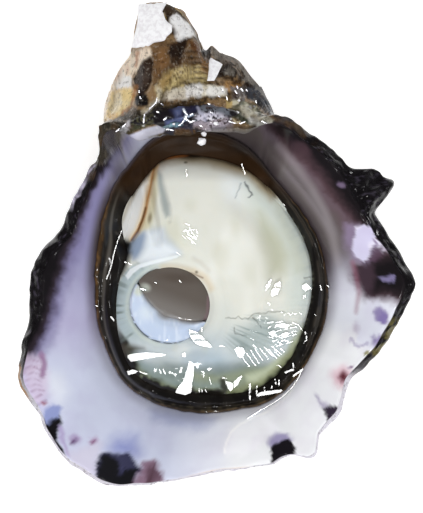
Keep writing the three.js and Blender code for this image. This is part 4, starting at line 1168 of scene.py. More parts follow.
RUST_LINE = [
    (-10.7, 28.1), (-11, 26.2), (-11.8, 22.7), (-12.5, 19.2), (-13.2, 16.5), (-14.1, 14.2), (-15.3, 12.5),
]
BLUE_LEAF = [(-9.7, 26.9), (-8.9, 24.6), (-8.2, 21.5), (-7.5, 18.8), (-7.6, 16.5)]
CRACKS = [
    [(4.4, -4), (6.9, -3.7), (8.8, -4.2), (10, -3.1), (13.1, -2.7), (15, -2.5), (16.9, -2.7)],
    [(10, -3.7), (11.1, -4.8), (11.8, -5.8)], [(6, -5.7), (6.3, -7.1), (8.5, -7.8)],
    [(20.8, 4.5), (22.8, 4.7)],
]
V_MARK = [[(8.5, 24.5), (9.2, 22.7), (9.8, 21.8), (9, 21.4)], [(7.5, 24.2), (6.3, 21.4)]]


def body_relief(x, y):
    """Fine relief on the flesh: swellings, fibres and pleats of the skirt, ticks round the muscle,
    cracks."""
    outward = body_share(x, y)
    bearing = bearing_of(x + 3, y + 2)
    swell = 0.14 * noise(x / 6.0, y / 6.0, 3.1) + 0.015 * noise(x / 1.2, y / 1.2, 1.1)
    skirt = ramp(outward, 0.72, 0.95) * ramp(x - 0.5 * y, 4, 12)
    fibres = 0.10 * noise(bearing / 1.6, outward * 5.0, 5.5) * patch(x, y, (12.0, -8.6), (8.0, 5.6), 28, 0.7)
    lumps = 0.16 * noise(x / 1.6, y / 1.1, 2.5) * patch(x, y, (0, -17.5), (19, 5.0), 0, 0.7)
    ring = 0.10 * noise(muscle_bearing(x, y) / 2.6, 1.5) * patch(x, y, (-17.4, 0.5), (2.2, 8.5), 4, 0.5)
    cracks = 0.12 * sum(stroke(x, y, line, 0.25) for line in CRACKS)
    groove = 0.5 * stroke(x, y, RUST_LINE, 0.7) + 0.25 * stroke(x, y, BLUE_LEAF, 0.9)
    pit = 1.1 * area(x, y, [
        (-19.9, 11.8), (-16.4, 11.6), (-15.8, 9.9), (-17.1, 6), (-20.2, 5.3), (-21.8, 8.4),
    ], 1.0)
    pleats = 0.08 * skirt * noise(bearing / 1.4, outward * 3, 2.7)
    return swell + pleats + fibres + lumps + ring - cracks - groove - pit


def body_paint(x, y):
    """The flesh's colours, laid on in soft coats over cream, among them painted shade and painted
    highlights.
    """
    outward = body_share(x, y)
    ring = muscle_share(x, y)
    soft = noise(x / 3, y / 3, 6.6)
    fine = noise(x / 0.9, y / 0.9, 2.6)
    spokes = ramp(noise(bearing_of(x + 3, y + 2) / 1.5, outward * 2.5, 2.7), -0.1, 0.6)
    striae = ramp(noise(muscle_bearing(x, y) / 2.6, 1.5), -0.1, 0.5)
    u, v = x + 0.4 * soft, y + 0.4 * noise(x / 3, y / 3, 1.6)
    p, q = wander(x, y, 0.7, 0.3)
    east, west = ramp(x, 0, 8), ramp(-x, 8, 12)
    edge = outward + 0.012 * fine + 0.02 * soft
    ragged = outward + 0.04 * noise(x / 1.5, y / 1.5, 9.1) + 0.03 * soft - 0.03 * ramp(x, -2, 6)
    coats = [
        # The dome: a cream middle, a faint blue cast at the upper right, the olive valley, the pale skirt.
        ((226, 232, 236), patch(u, v, (6.9, 23.9), (5.5, 8.0), -20, 0.9) * 0.6),
        ((214, 216, 196), patch(u, v, (-5.9, 12.2), (5.0, 6.0), 0, 0.9) * 0.4),
        ((206, 213, 206), ramp(edge, 0.66, 0.86) * ramp(x, 4, 12) * (1 - ramp(-y, 0, 6))),
        ((180, 182, 156), area(u, v, [
            (11.3, 18), (14, 15.3), (16.2, 12.2), (17.5, 9.1), (16.6, 5.6), (13.1, 4.9), (12.9, 8.7),
            (11.7, 13.4),
        ], 2.2) * 0.75),
        ((196, 200, 180), area(u, v, [
            (14.6, 20.8), (16.9, 17.3), (19.7, 13.8), (21.6, 10.7), (22.2, 6), (18.5, 5.3), (18.1, 10.7),
            (15.8, 15.3),
        ], 1.2) * 0.5),
        ((176, 186, 184), ramp(edge, 0.86, 0.98) * east * (0.5 + 0.5 * spokes)
         * (1 - ramp(y, 14, 20)) * 0.8),
        # The lower part: bluish below the muscle, grey-green with fine fibres at the right, olive edge.
        ((190, 200, 204), ramp(-y, 3, 9) * 0.9),
        ((240, 241, 236), ramp(noise(x / 4.5, y / 6.0, 2.2), 0.0, 0.8) * (1 - ramp(edge, 0.5, 0.7)) * 0.55),
        ((202, 202, 182), ramp(noise(x / 3.2, y / 5.0, 7.1), 0.1, 0.9) * (1 - ramp(edge, 0.6, 0.8)) * 0.4),
        ((204, 210, 206), patch(u, v, (3.8, -3.8), (5, 6), 0, 0.9) * 0.5),
        ((168, 180, 178), patch(u, v, (10.8, -7.5), (8.5, 5.6), 30, 0.8) * 0.9),
        ((134, 148, 146), spokes * patch(u, v, (10, -7.1), (8.0, 5.0), 30, 0.7) * 0.7),
        ((164, 182, 194), patch(u, v, (0.7, -13.2), (7.6, 4.0), 0, 0.9) * 0.8),
        ((122, 133, 138), area(u, v, [
            (-8.1, -13.4), (-1.1, -13.8), (7.6, -13.3), (9.9, -14.9), (6.9, -16.8), (2.9, -17.9),
            (-1.6, -16.9), (-4.1, -15.5), (-7.9, -15.3),
        ], 1.1) * 0.6),
        ((128, 104, 76), ramp(edge, 0.9, 1.0) * ramp(y, 17, 25) * 0.6),
        ((118, 131, 126), ramp(edge, 0.60, 0.80) * ramp(-y - 0.25 * np.abs(x - 2), 8, 13) * 0.9),
        ((142, 150, 122), area(u, v, [
            (-3.1, -15.3), (2.9, -15.8), (9.9, -14.3), (14.8, -13.8), (17.8, -11.8), (17.3, -13.8),
            (11.8, -17.8), (6.9, -19.8), (2.9, -21), (-2.1, -19.8),
        ], 1.0) * 0.7),
        ((176, 188, 196), patch(u, v, (-1.5, -12.4), (4.2, 2.6), 0, 0.9) * 0.7),
        ((150, 164, 168), patch(u, v, (-14, -14.5), (6.0, 2.4), 0, 0.9)),
        ((182, 190, 164), area(u, v, [
            (20.4, -5.2), (21, -7.5), (19.3, -12.2), (16.2, -15.3), (11.9, -17.6), (9.2, -18), (8.8, -16.1),
            (12.7, -14.5), (17.3, -11),
        ], 0.9)),
        ((132, 146, 140), ramp(edge, 0.80, 0.92) * ramp(-y, 8, 13) * (1 - ramp(x, 2, 8))),
        ((128, 134, 96), ramp(edge, 0.88, 0.96) * ramp(-y, 6, 13) * 0.8),
        ((26, 24, 21), ramp(ragged, 0.90, 0.97) * ramp(-y, 2, 10)),
        ((30, 28, 25), area(p, q, [
            (-19.6, -13.2), (-16.9, -13.8), (-14.4, -15), (-12.4, -16.1), (-10.1, -16.9), (-8.4, -18.1),
            (-6.1, -18.7), (-3.9, -19.6), (-1.4, -19.9), (-1.4, -23.7), (-15.1, -23.7), (-20.1, -16.8),
        ], 0.5) * ramp(noise(x / 0.9, y / 0.9, 7.7), -0.7, 0.0)),
        ((40, 40, 32), area(p, q, [
            (3, -16.8), (3.9, -16.2), (5, -19), (4.5, -21), (3.4, -19.8),
        ], 0.6) * 0.9),
        ((66, 60, 48), area(u, v, [
            (-19.9, -9.1), (-16.4, -9.5), (-12.9, -10.2), (-16.4, -11.6), (-18.3, -14.5), (-20.2, -12.6),
        ], 0.9) * 0.9),
        # The band round the muscle on the left, with dark ticks along its outer side.
        ((176, 190, 192), west * ramp(-y, -9, -6) * (1 - ramp(ring, 1.35, 1.45)) * (1 - ramp(-y, 7, 10))),
        ((120, 132, 128), striae * west * ramp(ring, 1.1, 1.25) * (1 - ramp(-y, 7, 10))
         * (1 - ramp(y, 6, 9)) * 0.8),
        ((206, 214, 206), hump(ring - 1.06, 0.1) * ramp(-x, 6, 12) * 0.6),
        # The hinge end: brown where the body dives under the lip, partly the tissue's own brown and partly
        # painted shade of the cavity; orange streaks along that line.
        ((150, 132, 96), area(u, v, [
            (-12.5, 29.2), (-7.8, 29.0), (-4, 28.6), (0.7, 28.2), (3.8, 27.6), (7.7, 26.0), (10.8, 23.8),
            (13.5, 21), (20, 26), (3, 35.5), (-12.5, 34.7),
        ], 1.5) * 0.8),
        ((48, 36, 24), area(u, v, [
            (-16.4, 30.2), (-10.2, 29.8), (-5.9, 29.7), (-0.9, 29.5), (3.8, 29.1), (8, 27.8), (11.5, 25.2),
            (14.5, 21.7), (22, 26), (3, 35.5), (-12.5, 35.5),
        ], 1.0)),
        ((196, 118, 52), area(x, y, [
            (-9.7, 29.3), (-7.8, 30.4), (-5.5, 30.9), (-3, 30.8), (-4, 30.2), (-7.1, 29.7),
        ], 0.4) * 0.85),
        ((190, 140, 84), area(u, v, [
            (-11.3, 28.5), (-9.7, 28.7), (-9.9, 27.2), (-10.6, 25), (-11.3, 25),
        ], 0.5) * 0.8),
        # The gill fold: a pale lens behind the rust line with painted shade along its left edge, and a soft
        # blue-grey leaf, painted as the shade of a shallow groove, on its other side.
        ((186, 176, 128), area(u, v, [
            (-10.7, 27.1), (-9.7, 26.2), (-9.7, 22.7), (-10.6, 18.8), (-11.3, 15.3), (-14, 13), (-14, 14.6),
            (-11.9, 20),
        ], 0.7) * 0.55),
        ((44, 36, 28), area(x, y, [
            (-11.3, 27.1), (-15, 23.1), (-16.8, 20), (-18.3, 16.1), (-19.1, 13.8), (-21.8, 13.8),
            (-19.5, 22.7), (-14.8, 29.7), (-11.3, 29.7),
        ], 0.7) * 0.95),
        # Painted shade of the mantle along the lens's left edge.
        ((150, 140, 122), area(x, y, [
            (-11.5, 26.8), (-14, 23.9), (-16.2, 20), (-18, 15.3), (-18.7, 13.8), (-17.3, 13.3), (-15.2, 18),
            (-11.7, 25.8),
        ], 0.6) * 0.8),
        ((216, 216, 214), area(x, y, [
            (-11.8, 25.3), (-14, 23.1), (-15.8, 19.6), (-17.5, 15.3), (-17.7, 13.5), (-16, 12.8),
            (-14.6, 15.3), (-13.2, 18.4), (-12.3, 21.5),
        ], 0.5)),
        ((206, 178, 132), stroke(x, y, RUST_LINE, 1.4) * 0.75),
        ((164, 116, 66), stroke(u, v, RUST_LINE, 0.55) * 0.9),
        # Where the rust line widens at its foot: its dark brown core, partly its own colour and partly
        # painted shade in the groove.
        ((92, 58, 28), stroke(x, y, RUST_LINE[3:], 0.4) * 0.85),
        ((110, 92, 66), patch(x, y, (-11.6, 17), (0.7, 1.8), -10, 0.9) * 0.7),
        # The blue-grey leaf: painted shade along a shallow groove.
        ((128, 140, 142), area(u, v, [
            (-10, 27.3), (-9, 26), (-8.2, 23), (-7.5, 20), (-7.6, 17.5), (-8.4, 16.9), (-9, 18.5),
            (-9.2, 21.5), (-9.7, 24.5),
        ], 0.6) * 0.7),
        # Above the muscle: a slate and white web, the painted reflection of the liquor's film, with a
        # painted highlight along the lip.
        ((30, 29, 28), area(x, y, [
            (-21.8, 13.8), (-18.3, 12.8), (-15.8, 12.2), (-14, 12.7), (-15, 10.7), (-16.2, 8.4),
            (-17.5, 4.9), (-20.2, 3.3), (-22.6, 4.5),
        ], 0.8)),
        ((176, 188, 202), area(u, v, [
            (-14.9, 9.5), (-15.6, 10.3), (-14.6, 12.5), (-12.9, 14), (-10.6, 14.8), (-8.6, 14.5), (-7.6, 13),
            (-5.1, 10), (-5.1, 9), (-8.6, 8.1), (-12.6, 7.6),
        ], 1.2) * 0.8),
        ((134, 152, 178), area(u, v, [
            (-15.6, 10), (-15.1, 12), (-13.9, 13.5), (-12.4, 14.3), (-12, 13), (-13.1, 10.5), (-13.9, 8.8),
            (-15.1, 8.1),
        ], 0.8) * 0.8),
        ((228, 234, 238), area(u, v, [
            (-12, 14), (-9.1, 14.4), (-8.4, 12.5), (-5.1, 9.5), (-8.6, 8.3), (-13.1, 7.8), (-13.9, 8.1),
            (-12.4, 10.5),
        ], 1.1) * 0.9),
        # The painted highlight along the lip.
        ((232, 238, 240), area(x, y, [
            (-16.8, 4.9), (-15.8, 6.3), (-14, 7.3), (-11.3, 8.1), (-8.6, 8.7), (-5.1, 9.4), (-5.9, 8.7),
            (-8.6, 8), (-11.3, 7.3), (-13.7, 6.5), (-15.1, 5.4), (-16.2, 4.1),
        ], 0.2)),
        # An ochre band and a thin dark line along the flesh that folds over the muscle: partly the tissue's
        # colour and partly painted shadow under the fold.
        ((214, 196, 160), stroke(u, v, [
            (-8.6, 6.5), (-5.5, 6.1), (-2.4, 5.6), (-0.1, 4.5), (1.1, 2.5),
        ], 1.6) * 0.55),
        ((120, 84, 56), stroke(x, y, [(-5.9, 6.1), (-2.8, 5.5), (-0.5, 4.5)], 0.35) * 0.6),
        ((196, 190, 176), stroke(u, v, [(-2.4, 8.4), (-0.9, 7.6), (0.7, 6)], 1.0) * 0.35),
        # Cracks, the dark mark at the upper right and a few specks.
        ((96, 100, 92), sum(stroke(p, q, line, 0.22) for line in CRACKS) * 0.6),
        ((70, 76, 80), sum(stroke(p, q, line, 0.32) for line in V_MARK[:1]) * 0.8),
        ((140, 148, 154), stroke(p, q, V_MARK[1], 0.3) * 0.6),
        ((70, 60, 44), patch(x, y, (-4.1, 28.8), (0.6, 0.4), 0, 0.8) * 0.8),
        ((90, 70, 50), patch(x, y, (-1.8, 5.7), (0.5, 0.5), 0, 0.8) * 0.7),
    ]
    return layered(colour(222, 223, 214), coats)


def body_surface(bearing, rows):
    """Rays from the muscle's middle: over the top from the hole to the outline, down the side, back along
    the nacre and up the wall of the hole, which leans a little over the muscle at its top. rows gives how
    many steps each stretch has."""
    edge_x, edge_y = at(bearing, body_reach(bearing))
    away_x, away_y = edge_x - MUSCLE[0], edge_y - MUSCLE[1]
    away = np.hypot(away_x, away_y)
    hole = muscle_reach(bearing_of(away_x, away_y)) + CLEARANCE
    top, side, under, wall = rows
    outwards, downwards, inwards, upwards = [np.arange(count) / count for count in rows]
    across = np.concatenate([outwards, np.ones(side), 1 - inwards, np.zeros(wall)])[:, None]
    down = np.concatenate([np.zeros(top), downwards, np.ones(under), 1 - upwards])[:, None]
    share = mix(hole - 0.55 * (1 - ramp(down, 0, 0.25)), away, across) / away
    x, y = MUSCLE[0] + away_x * share, MUSCLE[1] + away_y * share
    low = cup_height(x, y) + CLEARANCE
    rounding = 0.3 * (1 - ramp(across, 0, 0.05)) + 0.5 * ramp(across, 0.965, 1)
    high = flesh_top(x, y) + body_relief(x, y) - rounding
    return x, y, mix(np.maximum(high, low + 1), low, down)


def wet_flesh(name, roughness=0.3, glow=0.3, ripple=0.08, ripple_size=2.0):
    """Flesh under a film of liquor: paint from the mesh, light scattered under the skin, a clear wet
    coat."""
    made, tree = new_material(name)
    return finish(
        made, Base_Color=field(tree, "paint", "Color"), Roughness=roughness, Subsurface_Weight=glow,
        Subsurface_Radius=(1.0, 0.85, 0.7), Subsurface_Scale=1.2 * MM, Specular_IOR_Level=0.1,
        Normal=bump(tree, grain(tree, ripple_size, 2), ripple, 0.3),
        Coat_Weight=1.0, Coat_Roughness=0.02, Coat_IOR=1.28,
    )


bearings, runs = even_bearings(560, body_reach)
grid = body_surface(bearings, (146, 8, 8, 10))
body = solid("body_flesh", *grid, False, {"paint": body_paint(*grid[:2])})
body.data.materials.append(wet_flesh("wet_body"))
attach(body, "root")
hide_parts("body")

# --- The mantle -------------------------------------------------------------------------------------------
# The dark frilled edge of the skin round the body: a rust-brown outer strip, a grey furrow and a taller
# black inner fold in rounded lobes. It is one closed ring that lies on the nacre.


def lobed(bearing):
    """1 along the bottom, where the mantle is gathered into round lobes, and 0 where its folds run
    smoothly."""
    return sector(bearing, 285, (-62, -38), (50, 76))


def mantle_top(x, y, outward, edge, bearing):
    """From the body's side down to the mantle's edge on the nacre, with an outer and a taller inner fold,
    gathered into lobes along the bottom."""
    inside = np.minimum(BODY_EDGE - 0.1, flesh_top(x, y) + 0.1)
    outer = cup_height(*at(bearing, edge)) + CLEARANCE + 0.5
    lobes = 1 - np.abs(noise(bearing / 5.4, 1.5)) ** 0.8
    gathered = mix(0.75, 0.3 + 0.9 * lobes, lobed(bearing))
    inner_fold = 1.2 * hump(outward - 0.3, 0.4) * gathered * (1 - 0.8 * ramp(y, 16, 24))
    folds = 0.25 * hump(outward - 0.8, 0.18) + inner_fold
    ruffle = 0.05 * noise(x / 3.0, y / 3.0, 5.2) + 0.22 * lobed(bearing) * noise(x / 1.1, y / 1.1, 3.5)
    high = mix(inside, outer, outward) + folds + ruffle * hump(outward - 0.5, 0.56)
    return np.maximum(cup_height(x, y) + CLEARANCE + 0.5, high) - 0.4 * ramp(outward, 0.94, 1.0)


def mantle_surface(bearing, run, top, under):
    """Across from the body's outline to the mantle's own edge, then back along the nacre."""
    outward = np.concatenate([np.linspace(0, 1, top), np.linspace(1, 0, under + 2)[1:-1]])[:, None]
    edge = mantle_reach(bearing) + 0.2 * noise(run / 1.6, 2.5) - 0.1
    on_top = (np.arange(len(outward)) < top)[:, None]
    lapping = mix(0.5, 1.1 - 0.6 * np.abs(noise(bearing / 5.4, 1.5)), lobed(bearing))
    reach = mix(body_reach(bearing) + CLEARANCE, edge, outward) - on_top * lapping * ramp(outward, 0.3, 0)
    x, y = at(bearing, reach)
    z = np.where(on_top, mantle_top(x, y, outward, edge, bearing), cup_height(x, y) + CLEARANCE)
    return x, y, z, outward


def mantle_paint(bearing, run, x, y, outward):
    """Near-black with grey clouds and furrow, a rust-brown outer strip, and brown towards the hinge, partly
    its own colour and partly painted shade of the cavity under the lip.
    """
    left = sector(bearing, 180, (-60, -40), (40, 60))
    right = sector(bearing, 10, (-50, -30), (40, 60))
    hinge = ramp(y, 18, 27)
    fleck = ramp(noise(run / 0.8, outward * 6, 1.2), -0.3, 0.7)
    cloud = noise(x / 2.4, y / 2.4, 1.9)
    ticks = ramp(noise(run / 0.55, 3.7), -0.1, 0.5)
    coats = [
        ((40, 36, 31), ramp(cloud, -0.2, 0.6) * 0.7),
        ((88, 84, 78), hump(outward - 0.56, 0.13) * (0.75 * left + 0.3 * right)),
        ((70, 64, 56), hump(outward - 0.36, 0.2) * right * ramp(cloud, -0.1, 0.4) * 0.6),
        ((60, 54, 42), ramp(-y, 8, 16) * ramp(outward, 0.45, 0.75) * fleck * 0.8),
        ((104, 76, 42), ramp(outward, 0.76, 0.97) * (0.5 + 0.4 * left) * (0.4 + 0.7 * fleck) * (1 - hinge)),
        ((96, 98, 84), ramp(outward, 0.14, 0.0) * right * ticks * 0.8),
        # Towards the hinge: brown, partly the tissue's colour and partly painted shade, darkest in a patch
        # of painted shade deep in the cavity.
        ((56, 38, 22), hinge * (0.85 + 0.15 * cloud)),
        ((36, 27, 20), patch(x, y, (7.7, 32), (4.0, 2.2), -10, 0.9) * 0.9),
        ((56, 50, 46), sector(bearing, 68, (-18, -6), (8, 16)) * ramp(outward, 0.5, 0.9) * 0.8),
        ((12, 10, 10), hump(outward - 0.22, 0.22) * (1 - hinge) * 0.7),
        ((96, 88, 92), hinge * ramp(outward, 0.78, 1.0) * (0.3 + 0.45 * ramp(-x, 4, 12))),
    ]
    return layered(colour(22, 19, 17), coats)


bearings, runs = even_bearings(760, mantle_reach)
*grid, outward = mantle_surface(bearings, runs, 64, 14)
mantle = solid("mantle_edge", *grid, False, {
    "paint": mantle_paint(bearings, runs, *grid[:2], outward), "liquor": 1 - ramp(grid[1], 14, 20),
})
wet_mantle = wet_flesh("wet_mantle", roughness=0.4, glow=0.0, ripple=0.15, ripple_size=1.6)
mantle.data.materials.append(finish(wet_mantle, Coat_Weight=field(wet_mantle.node_tree, "liquor")))
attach(mantle, "root")
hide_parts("mantle")

# --- The muscle -------------------------------------------------------------------------------------------
# The adductor, cut through by the knife: a grey-brown translucent oval, and round its lower left the opaque
# blue-white crescent of fibres. Both are closed plugs that stand on the nacre.


def grey_share(bearing):
    """How much of the muscle's reach the grey half takes at a bearing from its middle."""
    return np.minimum(1, 0.31 + 0.69 * (np.abs(turn(241, bearing)) / 98) ** 3.5)


def grey_surface(columns, rows):
    """A plug: out over the dished cut face, down the side and back in under it."""
    across = np.concatenate([np.linspace(0, 1, rows), np.ones(8), np.linspace(1, 0, 8)[1:]])[:, None]
    down = np.concatenate([np.zeros(rows), np.linspace(0, 1, 9)[1:], np.ones(7)])[:, None]
    bearing = np.arange(columns) * 360 / columns
    reach = across * grey_share(bearing) * muscle_reach(bearing)
    x, y = from_muscle(bearing, reach)
    high = MUSCLE_TOP - 0.5 - 0.3 * across**6 + 0.04 * noise(x / 2, y / 2, 4.1)
    return x, y, mix(high, cup_height(x, y) + CLEARANCE, down)


def towards_white(x, y):
    """How far a point is along the way from the grey half to the white one: 0 at their border."""
    bearing = muscle_bearing(x, y)
    return np.hypot(x - MUSCLE[0], y - MUSCLE[1]) - grey_share(bearing) * muscle_reach(bearing)


def grey_paint(x, y):
    """Grey-brown, lighter at the lower left and along the border to the white half, and darker near its top
    where painted shade lies under the lip of the flesh.
    """
    lower = ramp(-0.9 * y - 0.35 * x, 0.5, 5.0)
    crescent_side = 1 - ramp(np.abs(turn(238, muscle_bearing(x, y))), 60, 90)
    coats = [
        ((124, 120, 116), lower * 0.9),
        # Painted shade under the lip of the flesh, across the top of the grey half.
        ((84, 75, 68), patch(x, y, (-5.5, 4.5), (7, 1.8), -6, 0.9) * 0.8),
        ((150, 148, 148), ramp(towards_white(x, y) + 0.4 * noise(x / 1.2, y / 1.2, 4.4), -1.2, 0.3)
         * crescent_side),
        ((176, 180, 170), patch(x, y, (-12.5, 2.5), (1.7, 1.3), -20, 0.9)),
        ((128, 106, 112), stroke(x, y, [(0.7, 0.6), (0.5, -2.9), (-0.5, -5.2)], 0.6) * 0.7),
    ]
    return layered(colour(98, 91, 85), coats)


grid = grey_surface(220, 60)
grey = solid("muscle_grey_half", *grid, True, {"paint": grey_paint(*grid[:2])})
grey.data.materials.append(wet_flesh("wet_grey_muscle", roughness=0.28, ripple=0.05))
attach(grey, "root")
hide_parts("muscle_grey")


HORN_WIDTH = 0.45  # where the crescent gets narrower than this it ends


def white_surface(stations, loop):
    """The crescent: stations from horn to horn, each a closed loop up the inside, over the top, down and
    under."""
    fine = 241 + np.arange(-179, 180, 0.5)
    thick = muscle_reach(fine) * (1 - grey_share(fine)) - CLEARANCE > HORN_WIDTH
    middle = len(fine) // 2
    first, last = fine[:middle][~thick[:middle]].max(), fine[middle:][~thick[middle:]].min()
    bearing = np.linspace(first, last, stations)[:, None]
    outer = muscle_reach(bearing)
    inner = outer * grey_share(bearing) + 0.05
    place = np.arange(loop) / loop * 12
    across = np.interp(place, np.arange(13), [0, 0, 0, 0.1, 0.5, 0.9, 1, 1, 1, 0.85, 0.5, 0.15, 0])
    up = np.interp(place, np.arange(13), [0, 0.5, 0.95, 1, 1.02, 1, 0.95, 0.5, 0, 0, 0, 0, 0])
    horn = (np.arange(stations) % (stations - 1) == 0)[:, None]
    overlap = 0.5 * (up > 0.9) * (1 - ramp(across, 0, 0.1))  # it laps over the gap to the grey half
    reach = mix(inner - overlap, outer, np.where(horn, 0.5, across))
    x, y = from_muscle(bearing, reach)
    low = cup_height(x, y) + CLEARANCE
    fibres = 0.05 * noise(reach / 0.6, bearing / 25) * (up > 0.9) * hump(across - 0.5, 0.5)
    level = MUSCLE_TOP - 0.8 * ramp(across, 0.4, 0)
    return x, y, mix(low, level, np.where(horn, 0.5, up)) + fibres, across + 0 * x


def white_paint(x, y, across):
    """Blue-white with paler fibres and patches, grey at the border, and dark dashes along the lower rim."""
    away = towards_white(x, y)
    dashes = ramp(noise((x + 3 * y) / 0.7, (3 * x - y) / 3, 2.2), -0.5, -0.1)
    coats = [
        ((188, 203, 226), ramp(-y, 2, 8) * 0.7),
        ((216, 226, 236), patch(x, y, (-12.5, -2.9), (2.4, 2.6), 0, 0.9) * 0.8),
        ((222, 230, 242), ramp(noise(x / 0.5, y / 1.6, 5.2), 0.1, 0.7) * 0.5),
        ((150, 148, 148), 1 - ramp(away + 0.4 * noise(x / 1.2, y / 1.2, 4.4), -0.3, 1.3)),
        ((206, 212, 200), patch(x, y, (-14, 1.7), (1.6, 1.6), 0, 0.9)),
        ((40, 44, 50), ramp(across, 0.93, 0.985) * ramp(-y - 0.2 * x, 3, 8) * dashes * 0.85),
    ]
    return layered(colour(200, 213, 232), coats)


*grid, across = white_surface(160, 96)
white = solid("muscle_white_crescent", *grid, True, {"paint": white_paint(*grid[:2], across)})
white.data.materials.append(wet_flesh("wet_white_muscle", roughness=0.3, glow=0.4, ripple=0.06))
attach(white, "root")
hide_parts("muscle_white")

# --- The liquor -------------------------------------------------------------------------------------------
# The film of liquor stands in low ripples and beads on the flesh and on the mantle, and ends in a thin line
# on the nacre. Each ripple is a small closed wedge whose top mirrors the low window to the eye; a large
# gleam is cut into bands, and a line into short pieces, so that none stands up far.

LOW_WINDOW = np.array((-40, -250, 335))
EYE = np.array((1.3, 9.0, 524.5))
BAND_HEIGHT = 1.8
PIECE_LENGTH = 1.1
COMB_WIDTH = 0.3
# The outlines of the large gleams.
RIPPLES = [
    [(-3.6, -6.1), (-2.3, -6.2), (0, -8.2), (1.9, -10.2), (0.7, -10.2), (-2, -9.5), (-3.3, -7.8)],
    [
        (-16.8, -11.5), (-12.5, -11), (-7.8, -11.3), (-7.6, -11.8), (-11.3, -12.4), (-15.8, -13.2),
        (-16.8, -12),
    ],
    [
        (-3.3, -12.6), (-2.1, -13), (-2.2, -15.3), (-2.8, -19.9), (-4.2, -20.4), (-6.5, -19.9),
        (-5.9, -18.6), (-4.7, -17.2), (-3.8, -14.5),
    ],
    [(-4.9, -11), (-4.3, -10.9), (-3.9, -11.5), (-4.2, -12.3), (-4.7, -12.1)],
    [(-16.6, -14.9), (-15.2, -14.7), (-14, -14.9), (-13.7, -15.5), (-15, -15.6), (-16.2, -16)],
    [(-10.7, -14.3), (-10, -14.6), (-10.4, -15.4), (-10.8, -15.1)],
    [(6, -10.2), (6.9, -9.7), (8, -9.9), (8.5, -11), (8.1, -12.3), (7.3, -12.5), (6.5, -11.6)],
    [(14.6, -5.3), (16.2, -4.9), (17.9, -5.3), (17.7, -6), (16.2, -6.1), (14.9, -6)],
    [(13.3, -6.8), (14.3, -6.4), (15, -7.1), (14.5, -8), (13.5, -7.8)],
    [(15.8, -6.8), (17.2, -6.7), (17.7, -7.5), (16.9, -8.2), (15.9, -8)],
    [(12.5, 2.5), (13.2, 3.7), (13.7, 4.5), (14, 4), (13.5, 2.5), (12.7, 1.7)],
    [(14.2, 2.5), (14.8, 3.9), (15.8, 4), (16, 2.5), (15.2, 1), (14, 0.4), (13.5, 1.1)],
    [(20.2, 3), (21, 3.5), (22.4, 2.5), (22.6, 2.1), (21, 1.6), (20.3, 2.1)],
    [(20.4, 1), (21.1, 1.1), (21.1, 0.2), (20.5, 0.1)],
    [(4, -16.5), (4.6, -17.5), (5.9, -17.4), (6, -18.8), (5.3, -19.5), (4.5, -18.3)],
    [(5.8, -17.4), (7.7, -15.7), (7.9, -16.1), (6.7, -18.2), (6, -18.8)],
    [(10.4, -19.7), (13.1, -19.1), (16.4, -18.8), (16.4, -19.4), (13.1, -20.1), (10.6, -20.5)],
]
# Lines of small ripples and how wide each is.
STREAKS = [
    ([(-17.5, 14.4), (-18.3, 12.2), (-19, 9.9), (-19.7, 6.8), (-20.7, 4.2)], 0.28),
    ([(21, -6.8), (21.4, -8.3), (20.3, -10.1)], 0.35), ([(-0.9, -5), (-0.6, -6.7)], 0.4),
    ([(7.7, 28.5), (8.4, 26.3)], 0.35), ([(18.3, -4.9), (19.7, -5.4), (20.4, -6.6)], 0.3),
    ([(-13.7, -15.2), (-12.3, -15.7)], 0.4), ([(-9.6, -14.6), (-9.2, -15.5)], 0.4),
    ([(-8.8, -14.7), (-8.3, -15.7)], 0.4), ([(-14, 2.2), (-12.4, 2)], 0.45), ([(-5.4, 4), (-5.1, 3.6)], 0.3),
    ([(-10.5, 3.6), (-10.2, 3.4)], 0.25), ([(-17.2, 7.9), (-16.5, 7.7)], 0.4),
    ([(-16.1, 7.5), (-15.5, 7.3)], 0.35), ([(-19.8, -3.7), (-19.2, -4.5)], 0.45),
    ([(-23, -1.3), (-22.6, -1.5)], 0.3), ([(23, -3.2), (23.3, -3.4)], 0.25),
    ([(24.2, 2.9), (24.5, 1.8)], 0.3), ([(25.7, 2.9), (26.1, 2.5)], 0.3),
    ([(13.1, -0.6), (13.6, -1.1)], 0.4), ([(16.2, 20.1), (17, 19.6)], 0.3),
    ([(9.4, -17.7), (9.4, -21.1)], 0.5), ([(10.9, -18.2), (10.8, -20.1)], 0.4),
    ([(12.5, -18.5), (12.5, -19.7)], 0.4), ([(14, -18.2), (14, -19.3)], 0.4),
    ([(14.7, -16.8), (14.9, -18)], 0.4), ([(15.5, -16.9), (15.5, -18)], 0.4),
    ([(16.8, -15.4), (18.5, -14.7)], 0.55), ([(18.5, -16.1), (20.4, -14.7)], 0.5),
    ([(18.4, -13.4), (18.5, -14.3)], 0.35), ([(-1.3, -18.8), (-1.2, -19.5)], 0.25),
    ([(-0.7, -18.9), (-0.6, -19.5)], 0.25), ([(0, -19), (0.3, -19.5)], 0.25),
    ([(0.9, -16.4), (1.3, -17.9)], 0.22), ([(16.4, -3.3), (17, -3)], 0.25),
    ([(17.6, -3.3), (18.5, -3)], 0.25), ([(-4.6, 14.2), (-2.4, 14.6)], 0.3),
    ([(-3.7, 13.7), (-2, 12.6)], 0.3), ([(-2.9, 13.9), (-1.6, 13.3)], 0.25),
    ([(-4.7, 13.3), (-3.9, 12.6)], 0.25), ([(3, -9.7), (4, -9.8)], 0.3),
    ([
        (20.4, -14.5), (19.6, -16.4), (18.4, -18.3), (16.6, -20.2), (14.2, -21.9), (11.3, -23.5), (8.8, -25),
    ], 0.26),
]
